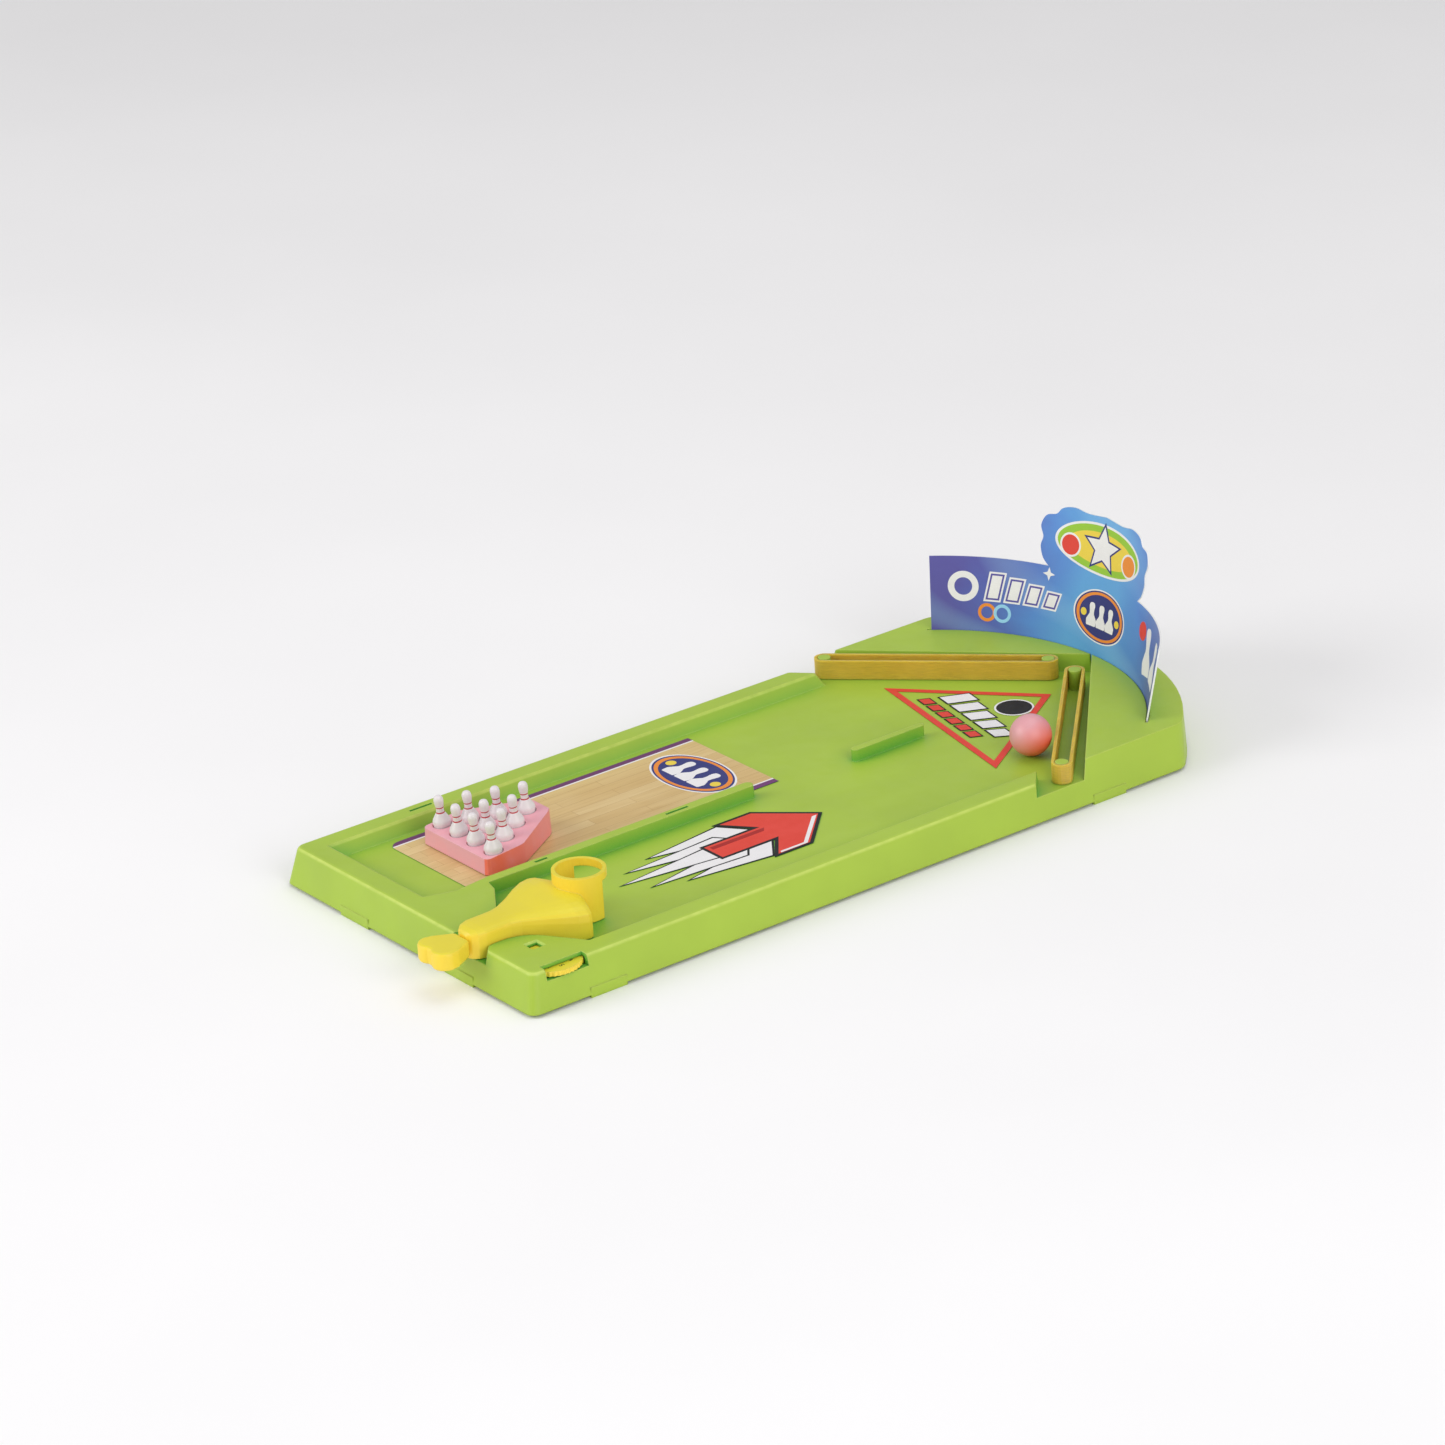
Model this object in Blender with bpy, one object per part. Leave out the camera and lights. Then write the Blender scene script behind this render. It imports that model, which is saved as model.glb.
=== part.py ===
"""A tabletop bowling game: a moulded tray with two lanes, a spring launcher, a score dial,
a rack of ten pins, two rubber bumper bands, a ball and a curved backdrop card.

Metres, +Z up. The lanes run along +Y, away from the player, and the launcher is on the +X side.
The origin is at the middle of the footprint, on the surface that the feet stand on.
Places along the lanes are distances from the tray's near top edge.
Heights are above the tray's lower rim.
"""

import math

import bmesh
import bpy
from mathutils import Matrix, Vector

MM = 0.001
GAP = 0.3 * MM
OVERRUN = 3 * MM
DEGREE = math.pi / 180

# Tray, outside
TRAY_TOP_WIDTH = 190 * MM
STRAIGHT_LENGTH = 299 * MM
FAR_ARC_RADIUS = 127.2 * MM
NEAR_CORNER_RADIUS = 4.5 * MM
FAR_CORNER_RADIUS = 10 * MM
WALL_DRAFT = 4 * MM
FAR_DRAFT_SHARE = 0.3
RIM_HEIGHT = 18.4 * MM
DECK_HEIGHT = 21.3 * MM
FLOOR_HEIGHT = 11.8 * MM
WALL = 2 * MM
FOOT_HEIGHT = 1.5 * MM
FAR_FOOT_INSET = 1 * MM
FOOT_DEPTH = 3.5 * MM
NEAR_FOOT_START = 30.5 * MM
NEAR_FOOT_LENGTH = 22.5 * MM
SIDE_FOOT_LENGTH = 20 * MM
SIDE_FOOT_NEAR_PLACE = 28.4 * MM
SIDE_FOOT_FAR_PLACE = 324 * MM
FAR_FOOT_LENGTH = 26 * MM

# Rims, divider and blocks
RIM_WIDTH = 10.7 * MM
RIM_SLOPE_RUN = 3.6 * MM
NEAR_RIM_WIDTH = 11.5 * MM
RIM_EDGE_RADIUS = 1.6 * MM
RIM_END_TO_POST = 11 * MM
RIM_END_ANGLE = 42 * DEGREE
SMALL_DRAFT = 0.5 * MM
DIVIDER_X = -0.6 * MM
DIVIDER_WIDTH = 5.4 * MM
DIVIDER_END_PLACE = 197 * MM
BLOCK_SHOULDER_PLACE = 46 * MM
BLOCK_WAIST_PLACE = 27 * MM
BLOCK_WAIST_X = -0.8 * MM
BLOCK_NEAR_X = -6 * MM
LANE_RIB_X = 1.5 * MM
LANE_RIB_TO_RIM_END = 1 * MM
LANE_RIB_LENGTH = 44 * MM
LANE_RIB_WIDTH = 4.2 * MM
LANE_RIB_FAR_WIDTH = 3 * MM
LANE_RIB_HEIGHT = 17.9 * MM

# Launcher channel
THROAT_HALF_WIDTH = 9.4 * MM
THROAT_PLACE = 11 * MM
CHANNEL_SIDE_ANGLE = 33 * DEGREE
# The radius of the channel's side arcs, as a share of the launcher housing's length.
CHANNEL_ARC_SHARE = 0.3384
MOUTH_HALF_WIDTH = 13.6 * MM
MOUTH_PLACE = 7 * MM
BLOCK_TIP_RUN = 7.6 * MM

# Deck, posts and rubber bands
DECK_APEX_MARGIN = 17.2 * MM
DECK_ANGLE = 42.5 * DEGREE
POST_RADIUS = 3.2 * MM
POST_TOP = 22 * MM
OUTER_POST_FROM_SIDE = 5 * MM
OUTER_POST_TO_DECK = 14.5 * MM
INNER_POST_X = 10 * MM
INNER_POST_TO_DECK = 10.3 * MM
BAND_THICKNESS = 1.5 * MM
BAND_HEIGHT = 9.8 * MM

# Backdrop card and its slot
CARD_INSET = 17.7 * MM
CARD_CENTRE_PAST_STRAIGHT = 1 * MM
CARD_HALF_ANGLE = 47.7 * DEGREE
CARD_LEAN = 10.5 * DEGREE
CARD_THICKNESS = 0.8 * MM
CARD_BAND_HEIGHT = 37 * MM
BADGE_HALF_ANGLE = 19.3 * DEGREE
BADGE_RISE = 31.5 * MM
SLOT_DEPTH = 7.3 * MM
SLOT_SPARE_ANGLE = 1.2 * DEGREE
SLOT_RIB_WALL = 2.2 * MM
SLOT_RIB_BOTTOM = 12.4 * MM

# Underside ribs
UNDER_RIB_THICKNESS = 1.4 * MM
UNDER_RIB_FOOT = 3.5 * MM
UNDER_LONG_RIB_START = 60 * MM
# The ribs' places, as shares of the tray's straight length and of half its width.
UNDER_CROSS_RIB_SHARES = (0.261, 0.495, 0.776, 1.037, 1.217)
UNDER_LONG_RIB_SHARE = 0.453

# Accessory slits in the left rim and the divider
SLIT_WIDTH = 1.6 * MM
SLIT_DEPTH = 1.5 * MM
RIM_SLIT_PLACE = 61.5 * MM
RIM_SLIT_LENGTH = 12.8 * MM
RIM_SLIT_FROM_SIDE = 5.7 * MM
DIVIDER_NEAR_SLIT_PLACE = 70.5 * MM
DIVIDER_NEAR_SLIT_LENGTH = 7 * MM
DIVIDER_FAR_SLIT_PLACE = 146 * MM
DIVIDER_FAR_SLIT_LENGTH = 13 * MM

# Score dial and its window
DIAL_PROUD = 2.4 * MM
DIAL_FROM_CHANNEL = 6.1 * MM
DIAL_FROM_NEAR_EDGE = 3.5 * MM
DIAL_THICKNESS = 2.4 * MM
DIAL_KNURL_DEPTH = 0.5 * MM
DIAL_KNURLS = 40
DIAL_BOSS_RADIUS = 3.4 * MM
DIAL_BOSS_PROUD = 0.3 * MM
DIAL_SLOT_DEPTH = 4.2 * MM
DIAL_SLOT_HALF_LENGTH_SHARE = 0.755
WINDOW_SIZE = 5.6 * MM
WINDOW_CHAMFER = 0.9 * MM
WINDOW_PAST_DIAL = 0.4 * MM
# How far the window lies from the dial's axis, as a share of the dial's radius.
WINDOW_REACH_SHARE = 0.768

# Small screws
PILOT_RADIUS = 1.3 * MM
SHANK_RADIUS = 1 * MM
SCREW_HEAD_RADIUS = 2.4 * MM
SCREW_HEAD_HEIGHT = 0.9 * MM
SCREW_SLOT_WIDTH = 0.7 * MM
SCREW_SLOT_DEPTH = 0.35 * MM
WASHER_THICKNESS = 0.8 * MM

# Launcher housing, as a lofted hollow shell
HOUSING_NEAR_PLACE = -3.6 * MM
HOUSING_LENGTH = 59.1 * MM
HOUSING_HALF_WIDTH = 25 * MM
HOUSING_SHOULDER = 25 * MM
HOUSING_RIDGE = 28.4 * MM
HOUSING_WALL = 1.8 * MM
HOUSING_ARCH_POINTS = 12
# Along the length, half width, shoulder height and ridge height, each a share of its own size above.
HOUSING_SECTION_SHARES = (
    (0.000, 0.100, 0.900, 0.810),
    (0.020, 0.205, 0.945, 0.860),
    (0.060, 0.296, 0.975, 0.895),
    (0.125, 0.342, 0.990, 0.912),
    (0.280, 0.340, 0.992, 0.920),
    (0.350, 0.348, 0.985, 0.924),
    (0.430, 0.405, 0.975, 0.930),
    (0.570, 0.600, 0.945, 0.950),
    (0.690, 0.800, 0.915, 0.982),
    (0.800, 0.950, 0.885, 1.000),
    (0.880, 1.000, 0.865, 1.000),
    (0.915, 0.968, 0.860, 0.994),
    (0.955, 0.780, 0.860, 0.980),
    (1.000, 0.480, 0.860, 0.960),
)
HOLLOW_SECTION_SHARES = HOUSING_SECTION_SHARES[2:13]
HOUSING_ARCH_START_SHARE = 0.16
HOUSING_ARCH_POWER = 0.62

# Ball cup at the front of the housing
CUP_PAST_HOUSING = 6.1 * MM
CUP_OUTER_RADIUS = 12.6 * MM
CUP_INNER_RADIUS = 10.8 * MM
CUP_TOP = 34.4 * MM
CUP_RING_HEIGHT = 3.9 * MM
CUP_OPEN_FROM = 20 * DEGREE
CUP_OPEN_TO = 157 * DEGREE
STRIKER_WINDOW_HALF_WIDTH = 6.6 * MM
STRIKER_WINDOW_TOP = 25.6 * MM

# Base plate and pivot of the launcher
PLATE_THICKNESS = 1.4 * MM
PLATE_RISE = 1.2 * MM
PIVOT_PLACE = 10 * MM
PIVOT_RADIUS = 3.7 * MM
PIVOT_SHOULDER_RADIUS = 6 * MM
PIVOT_BELOW_FLOOR = 0.5 * MM
PIVOT_WASHER_RADIUS = 6.5 * MM
HOUSING_BOSS_RADIUS = 2.9 * MM
HOUSING_BOSS_X = 16 * MM
# The bosses' place along the housing, as a share of its length.
HOUSING_BOSS_SHARE = 0.7716
PLATE_SCREW_REACH = 4 * MM

# Plunger: rod, collar, striker, spring and knob
ROD_RADIUS = 1.9 * MM
ROD_HEIGHT = 18.2 * MM
ROD_INTO_KNOB = 6.6 * MM
COLLAR_RADIUS = 3.2 * MM
COLLAR_TO_STRIKER_FACE = 10.9 * MM
COLLAR_LENGTH = 1.5 * MM
STRIKER_FACE_TO_CUP = 7.1 * MM
STRIKER_LENGTH = 5 * MM
STRIKER_HALF_WIDTH = 6 * MM
STRIKER_BOTTOM = 15.1 * MM
STRIKER_TOP = 25 * MM
STRIKER_BORE_DEPTH = 3 * MM
STRIKER_BEVEL = 0.8 * MM
SPRING_RADIUS = 2.9 * MM
SPRING_WIRE_RADIUS = 0.3 * MM
SPRING_TURNS = 14
SPRING_POINTS_PER_TURN = 10
KNOB_OVERHANG = 23.4 * MM
KNOB_HALF_WIDTH = 11.5 * MM
KNOB_NECK_HALF_WIDTH = 5.6 * MM
KNOB_LOBE_RADIUS = 6.3 * MM
KNOB_LOBE_POINTS = 10
KNOB_NOTCH_DEPTH = 1.3 * MM
KNOB_BOTTOM = 13.6 * MM
KNOB_TOP = 22.4 * MM
KNOB_BEVEL = 1.4 * MM
KNOB_SCREW_FROM_FACE = 4.2 * MM
KNOB_SCREW_RADIUS = 0.8 * MM
KNOB_SCREW_HEAD_RADIUS = 1.8 * MM
# Half width and distance behind the knob's neck, as shares of the knob's half width and of its length.
KNOB_SIDE_SHARES = ((0.75, 0.30), (0.93, 0.48))

# Stickers
STICKER_GAP = 0.2 * MM
STICKER_THICKNESS = 0.2 * MM
LANE_STICKER_LEFT_MARGIN = 4.4 * MM
LANE_STICKER_RIGHT_MARGIN = 1.1 * MM
LANE_STICKER_START = 39.5 * MM
LANE_STICKER_LENGTH = 176.5 * MM
LANE_STICKER_CORNER = 6 * MM
ARROW_FROM_CHANNEL = 9.5 * MM
ARROW_START = 90 * MM
ARROW_LENGTH = 119 * MM
ARROW_HALF_WIDTH = 24.6 * MM
# Half width and distance from the tail, as shares of the arrow's half width and length.
ARROW_SHARES = (
    (0.10, 0.00),
    (0.30, 0.30),
    (0.36, 0.16),
    (0.44, 0.60),
    (0.44, 0.74),
    (1.00, 0.62),
    (1.00, 0.80),
    (0.00, 1.00),
)
# The target's corners, as shares of the tray's half width and of its far arc's radius.
TARGET_SHARES = ((-0.602, 0.185), (0.605, -0.003), (0.080, 0.609))

# Pin rack
RACK_RIGHT_OF_LANE = 0.7 * MM
RACK_NEAR_PLACE = 52.6 * MM
RACK_LENGTH = 50.5 * MM
RACK_HALF_WIDTH = 26.4 * MM
RACK_FAR_HALF_WIDTH = 8 * MM
RACK_SIDE_LENGTH = 21 * MM
RACK_CORNER_CUT = 2.4 * MM
RACK_TOP_INSET = 0.4 * MM
RACK_NEAR_HEIGHT = 8 * MM
RACK_SLOPE = 5 * DEGREE
RACK_WALL = 2 * MM
RACK_TOP_PLATE = 4 * MM
SOCKET_RADIUS = 4.65 * MM
SOCKET_DEPTH = 2.3 * MM
PIN_SPACING = 13.8 * MM
PIN_ROW_SPACING = 11.3 * MM
FIRST_ROW_PLACE = 60.6 * MM
PIN_ROWS = 4

# Pins and ball
PIN_HEIGHT = 17.2 * MM
PIN_BELLY_RADIUS = 4.4 * MM
PIN_SEGMENTS = 14
# Radius and height, as shares of the belly radius and of the pin's height.
PIN_SHARES = (
    (0.86, 0.000),
    (0.93, 0.050),
    (0.97, 0.152),
    (1.00, 0.213),
    (0.95, 0.275),
    (0.82, 0.337),
    (0.61, 0.434),
    (0.44, 0.514),
    (0.43, 0.638),
    (0.53, 0.753),
    (0.57, 0.867),
    (0.44, 0.956),
)
BALL_RADIUS = 10.25 * MM
BALL_RIGHT_OF_CHANNEL = 9 * MM
BALL_FROM_BAND = 1.25 * MM
BALL_SEGMENTS = 24
BALL_RINGS = 14

# Derived places
TRAY_BOTTOM_LENGTH = STRAIGHT_LENGTH + FAR_ARC_RADIUS + WALL_DRAFT * FAR_DRAFT_SHARE
NEAR_Y = -(TRAY_BOTTOM_LENGTH - KNOB_OVERHANG) / 2
HALF_TOP = TRAY_TOP_WIDTH / 2
RIM_INNER_X = HALF_TOP - RIM_WIDTH
OUTSIDE_X = HALF_TOP + WALL_DRAFT + 4 * OVERRUN
CHANNEL_X = HALF_TOP / 2
CHANNEL_ARC_RADIUS = CHANNEL_ARC_SHARE * HOUSING_LENGTH
CUP_PLACE = HOUSING_NEAR_PLACE + HOUSING_LENGTH + CUP_PAST_HOUSING
HOUSING_BOSS_PLACE = HOUSING_NEAR_PLACE + HOUSING_BOSS_SHARE * HOUSING_LENGTH
STRIKER_FACE_PLACE = CUP_PLACE - STRIKER_FACE_TO_CUP
COLLAR_PLACE = STRIKER_FACE_PLACE - COLLAR_TO_STRIKER_FACE
DECK_APEX_PLACE = STRAIGHT_LENGTH + FAR_ARC_RADIUS - DECK_APEX_MARGIN
OUTER_POST_X = HALF_TOP - OUTER_POST_FROM_SIDE
OUTER_POST_PLACE = DECK_APEX_PLACE - OUTER_POST_X * math.tan(DECK_ANGLE) - OUTER_POST_TO_DECK
INNER_POST_PLACE = DECK_APEX_PLACE - INNER_POST_X * math.tan(DECK_ANGLE) - INNER_POST_TO_DECK
RIM_END_PLACE = OUTER_POST_PLACE - RIM_END_TO_POST
CARD_RADIUS = FAR_ARC_RADIUS - CARD_INSET
CARD_CENTRE_PLACE = STRAIGHT_LENGTH + CARD_CENTRE_PAST_STRAIGHT
DIAL_INNER_EDGE = CHANNEL_X + MOUTH_HALF_WIDTH + DIAL_FROM_CHANNEL
DIAL_RADIUS = (HALF_TOP + DIAL_PROUD - DIAL_INNER_EDGE) / 2
DIAL_X = DIAL_INNER_EDGE + DIAL_RADIUS
DIAL_PLACE = DIAL_FROM_NEAR_EDGE + DIAL_RADIUS
LANE_STICKER_LEFT = RIM_SLOPE_RUN - RIM_INNER_X + LANE_STICKER_LEFT_MARGIN
LANE_STICKER_RIGHT = DIVIDER_X - DIVIDER_WIDTH / 2 - SMALL_DRAFT - LANE_STICKER_RIGHT_MARGIN
ARROW_X = CHANNEL_X - ARROW_FROM_CHANNEL
RACK_X = (LANE_STICKER_LEFT + LANE_STICKER_RIGHT) / 2 + RACK_RIGHT_OF_LANE
CUP_BOTTOM = FLOOR_HEIGHT + GAP
PLATE_BOTTOM = CUP_BOTTOM + PLATE_RISE
PLATE_TOP = PLATE_BOTTOM + PLATE_THICKNESS
KNOB_NECK_PLACE = HOUSING_NEAR_PLACE - GAP
KNOB_LENGTH = KNOB_NECK_PLACE + KNOB_OVERHANG
STICKER_TOP = FLOOR_HEIGHT + STICKER_GAP + STICKER_THICKNESS


def along(place):
    """World Y of a distance from the tray's near top edge."""
    return NEAR_Y + place


def up(height):
    """World Z of a height above the tray's lower rim."""
    return FOOT_HEIGHT + height


def spot(x, place, height):
    return Vector((x, along(place), up(height)))


def material(name, colour, roughness, metallic=0.0):
    made = bpy.data.materials.new(name)
    made.use_nodes = True
    shader = made.node_tree.nodes["Principled BSDF"]
    shader.inputs["Base Color"].default_value = (*colour, 1)
    shader.inputs["Roughness"].default_value = roughness
    shader.inputs["Metallic"].default_value = metallic
    made.diffuse_color = (*colour, 1)
    return made


# Meshes and modifiers


def mesh_object(name, points, faces, finish=None):
    """An object with its faces turned outward and its rounded faces shaded smooth."""
    form = bmesh.new()
    corners = [form.verts.new(point) for point in points]
    for face in faces:
        form.faces.new([corners[index] for index in face])
    bmesh.ops.recalc_face_normals(form, faces=form.faces)
    mesh = bpy.data.meshes.new(name)
    form.to_mesh(mesh)
    form.free()
    mesh.shade_smooth()
    mesh.set_sharp_from_angle(angle=35 * DEGREE)
    made = bpy.data.objects.new(name, mesh)
    bpy.context.scene.collection.objects.link(made)
    if finish:
        mesh.materials.append(finish)
    return made


def loft(name, rings, finish=None):
    """A closed solid through rings of equally many points, with a flat cap on the first and the last."""
    count = len(rings[0])
    points = [point for ring in rings for point in ring]
    faces = [tuple(range(count)), tuple(range(len(points) - count, len(points)))]
    for level in range(len(rings) - 1):
        start = level * count
        for index in range(count):
            following = (index + 1) % count
            low = (start + index, start + following)
            high = (start + count + following, start + count + index)
            faces.append(low + high)
    return mesh_object(name, points, faces, finish)


def level(outline, height):
    """An outline of x and place pairs, at one height."""
    return [spot(x, place, height) for x, place in outline]


def prism(name, outline, low, high, finish=None):
    return loft(name, [level(outline, low), level(outline, high)], finish)


def block(name, x_range, place_range, height_range, finish=None):
    left, right = x_range
    near, far = place_range
    outline = [(left, near), (right, near), (right, far), (left, far)]
    return prism(name, outline, height_range[0], height_range[1], finish)


def turned(name, profile, centre, segments, finish=None, turn=None):
    """A solid of revolution about Z, from radius and height pairs."""
    rings = []
    for radius, height in profile:
        ring = []
        for index in range(segments):
            angle = 2 * math.pi * index / segments
            ring.append(Vector((radius * math.cos(angle), radius * math.sin(angle), height)))
        rings.append(ring)
    made = loft(name, rings, finish)
    if turn:
        made.data.transform(turn)
    made.data.transform(Matrix.Translation(centre))
    return made


def cylinder(name, centre, radius, low, high, segments=24, turn=None, finish=None):
    return turned(name, [(radius, low), (radius, high)], centre, segments, finish, turn)


def boolean(target, other, operation):
    """Adds or takes away another object, which the finished model leaves out."""
    other.hide_render = True
    other.display_type = "WIRE"
    change = target.modifiers.new(other.name, "BOOLEAN")
    change.operation = operation
    change.solver = "EXACT"
    change.object = other


def cut(target, *others):
    for other in others:
        boolean(target, other, "DIFFERENCE")


def add(target, *others):
    for other in others:
        boolean(target, other, "UNION")


def bevel(target, width, segments=2):
    rounding = target.modifiers.new("rounded_edges", "BEVEL")
    rounding.width = width
    rounding.segments = segments
    rounding.limit_method = "ANGLE"
    rounding.angle_limit = 40 * DEGREE


def axis_empty(name, place, parent=None):
    """An empty on a joint's axis, for the pieces that move about it."""
    made = bpy.data.objects.new(name, None)
    bpy.context.scene.collection.objects.link(made)
    made.empty_display_size = OVERRUN
    made.parent = parent
    made.location = place - parent.matrix_world.translation if parent else place
    bpy.context.view_layer.update()
    return made


def seat(target, origin, parent=None):
    """Moves an object's origin to a place in the world and hangs it on its parent."""
    target.data.transform(Matrix.Translation(-origin))
    target.parent = parent
    target.location = origin - parent.matrix_world.translation if parent else origin


# Outlines, as lists of x and place pairs that run anticlockwise seen from above


def arc(x, place, radius, start, end, steps):
    points = []
    for index in range(steps + 1):
        angle = start + (end - start) * index / steps
        points.append((x + radius * math.cos(angle), place + radius * math.sin(angle)))
    return points


def shifted(outline, shifts):
    """Moves each edge of an outline inward by its own distance, and joins the moved edges again."""
    count = len(outline)
    lines = []
    for index in range(count):
        x, place = outline[index]
        next_x, next_place = outline[(index + 1) % count]
        length = math.hypot(next_x - x, next_place - place)
        run = ((next_x - x) / length, (next_place - place) / length)
        lines.append((x - run[1] * shifts[index], place + run[0] * shifts[index], run))
    moved = []
    for index in range(count):
        x, place, run = lines[index - 1]
        other_x, other_place, other_run = lines[index]
        cross = run[0] * other_run[1] - run[1] * other_run[0]
        if abs(cross) < 1e-6:
            moved.append((other_x, other_place))
            continue
        reach = ((other_x - x) * other_run[1] - (other_place - place) * other_run[0]) / cross
        moved.append((x + run[0] * reach, place + run[1] * reach))
    return moved


def inset(outline, distance):
    return shifted(outline, [distance] * len(outline))


def tray_outline(draft, skin=0.0):
    """The tray's outline where its wall stands a draft outside the rim's outline, less a skin."""
    half = HALF_TOP + draft
    near = NEAR_CORNER_RADIUS
    far = FAR_CORNER_RADIUS
    radius = FAR_ARC_RADIUS + draft * FAR_DRAFT_SHARE
    side_x = half - far
    rise = math.sqrt((radius - far) ** 2 - side_x**2)
    meet = math.atan2(rise, side_x)
    corner_place = STRAIGHT_LENGTH + rise
    outline = arc(-half + near, near - draft, near - skin, math.pi, 1.5 * math.pi, 5)
    outline += arc(half - near, near - draft, near - skin, 1.5 * math.pi, 2 * math.pi, 5)
    outline += arc(side_x, corner_place, far - skin, 0, meet, 4)
    outline += arc(0, STRAIGHT_LENGTH, radius - skin, meet, math.pi - meet, 22)[1:-1]
    outline += arc(-side_x, corner_place, far - skin, math.pi - meet, math.pi, 4)
    return outline


def draft_at(height):
    """How far the tray's wall stands outside its rim outline at a height."""
    return WALL_DRAFT * (1 - height / RIM_HEIGHT)


def tray_ring(height, skin=0.0):
    return level(tray_outline(draft_at(height), skin), height)


def channel_side(side):
    """One side of the launcher channel, from the mouth in the near wall to the end of its sloping wall."""
    slope_end = math.pi / 2 - CHANNEL_SIDE_ANGLE
    arc_x = THROAT_HALF_WIDTH + CHANNEL_ARC_RADIUS
    points = [(MOUTH_HALF_WIDTH, 0), (THROAT_HALF_WIDTH + SMALL_DRAFT, MOUTH_PLACE / 2)]
    points.append((THROAT_HALF_WIDTH, MOUTH_PLACE))
    points += arc(arc_x, THROAT_PLACE, -CHANNEL_ARC_RADIUS, 0, -slope_end, 6)
    return [(CHANNEL_X + side * x, place) for x, place in points]


def slope_place(distance):
    """Where the channel's sloping wall lies at a distance from the launcher's centre line."""
    start_x = THROAT_HALF_WIDTH + CHANNEL_ARC_RADIUS * (1 - math.sin(CHANNEL_SIDE_ANGLE))
    start = THROAT_PLACE + CHANNEL_ARC_RADIUS * math.cos(CHANNEL_SIDE_ANGLE)
    return start + (distance - start_x) * math.tan(CHANNEL_SIDE_ANGLE)


def left_block_lane_side():
    """The left block's edge along the pin lane, from the divider back to the near rim."""
    left = DIVIDER_X - DIVIDER_WIDTH / 2
    return [(left, BLOCK_SHOULDER_PLACE), (BLOCK_WAIST_X, BLOCK_WAIST_PLACE), (BLOCK_NEAR_X, NEAR_RIM_WIDTH)]


def left_block_slope():
    """The left block's edge along the launcher's lane, from the sloping wall to the divider."""
    right = DIVIDER_X + DIVIDER_WIDTH / 2
    tip_x = right + BLOCK_TIP_RUN
    tip_place = slope_place(CHANNEL_X - tip_x)
    return [(tip_x, tip_place), (right, tip_place + SMALL_DRAFT * 4)]


def pocket_parts():
    """The lanes and the open court as outline stretches, each with the inward draft of its walls."""
    left = DIVIDER_X - DIVIDER_WIDTH / 2
    end_radius = DIVIDER_WIDTH / 2
    end_place = DIVIDER_END_PLACE - end_radius
    ledge_run = (OUTSIDE_X - RIM_INNER_X) * math.tan(RIM_END_ANGLE)
    deck_place = DECK_APEX_PLACE - OUTSIDE_X * math.tan(DECK_ANGLE)
    divider_tip = arc(DIVIDER_X, end_place, end_radius, math.pi, 0, 6)
    left_channel = channel_side(-1)
    right_channel = channel_side(1)
    mouth_out = [(CHANNEL_X - MOUTH_HALF_WIDTH, -4 * OVERRUN), (CHANNEL_X + MOUTH_HALF_WIDTH, -4 * OVERRUN)]
    slope_end = (RIM_INNER_X, slope_place(RIM_INNER_X - CHANNEL_X))
    lane_side = left_block_lane_side()[::-1]
    return [
        ([(-RIM_INNER_X, NEAR_RIM_WIDTH)], SMALL_DRAFT),
        (lane_side, SMALL_DRAFT),
        (divider_tip, SMALL_DRAFT),
        (left_block_slope()[::-1], SMALL_DRAFT),
        (left_channel[::-1], SMALL_DRAFT / 2),
        (mouth_out, 0),
        (right_channel, SMALL_DRAFT / 2),
        ([slope_end], RIM_SLOPE_RUN),
        ([(RIM_INNER_X, RIM_END_PLACE)], SMALL_DRAFT),
        ([(OUTSIDE_X, RIM_END_PLACE - ledge_run)], 0),
        ([(OUTSIDE_X, deck_place), (0, DECK_APEX_PLACE)], SMALL_DRAFT),
        ([(-OUTSIDE_X, deck_place)], 0),
        ([(-OUTSIDE_X, RIM_END_PLACE - ledge_run)], SMALL_DRAFT),
        ([(-RIM_INNER_X, RIM_END_PLACE)], RIM_SLOPE_RUN),
    ]


def pocket_ring(height):
    outline = []
    drafts = []
    for points, draft in pocket_parts():
        outline += points
        drafts += [draft * (RIM_HEIGHT - height) / (RIM_HEIGHT - FLOOR_HEIGHT)] * len(points)
    return level(shifted(outline, drafts), height)


# Base tray


def tray_body():
    """The outer block with the rims lowered, the lanes sunk and the rims' outer edge rounded."""
    body = loft("base_tray", [tray_ring(0), tray_ring(DECK_HEIGHT)], GREEN)
    near = -WALL_DRAFT - OVERRUN
    ledge_middle = RIM_END_PLACE + RIM_WIDTH
    over_top = DECK_HEIGHT + OVERRUN
    rims_cut = block("rims_cut", (-OUTSIDE_X, OUTSIDE_X), (near, ledge_middle), (RIM_HEIGHT, over_top))
    pocket = loft("lanes_cut", [pocket_ring(FLOOR_HEIGHT), pocket_ring(over_top)])
    cut(body, rims_cut, pocket)

    radius = RIM_EDGE_RADIUS
    edge_heights = (RIM_HEIGHT - 1.25 * radius, RIM_HEIGHT + radius / 16)
    edge = block("rim_edge_cut", (-OUTSIDE_X, OUTSIDE_X), (near, ledge_middle), edge_heights)
    cut(edge, rim_edge_keep())
    cut(body, edge)
    return body


def rim_edge_keep():
    """What stays inside the rims' rounded outer edge: three flats, the first and the last run on a little."""
    radius = RIM_EDGE_RADIUS
    turned_in = radius * (1 - math.cos(30 * DEGREE))
    steps = (
        (1.5 * radius, -turned_in),
        (0.5 * radius, turned_in),
        (turned_in, 0.5 * radius),
        (-turned_in, 1.5 * radius),
    )
    return loft("rim_edge_keep", [tray_ring(RIM_HEIGHT - drop, skin) for drop, skin in steps])


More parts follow.
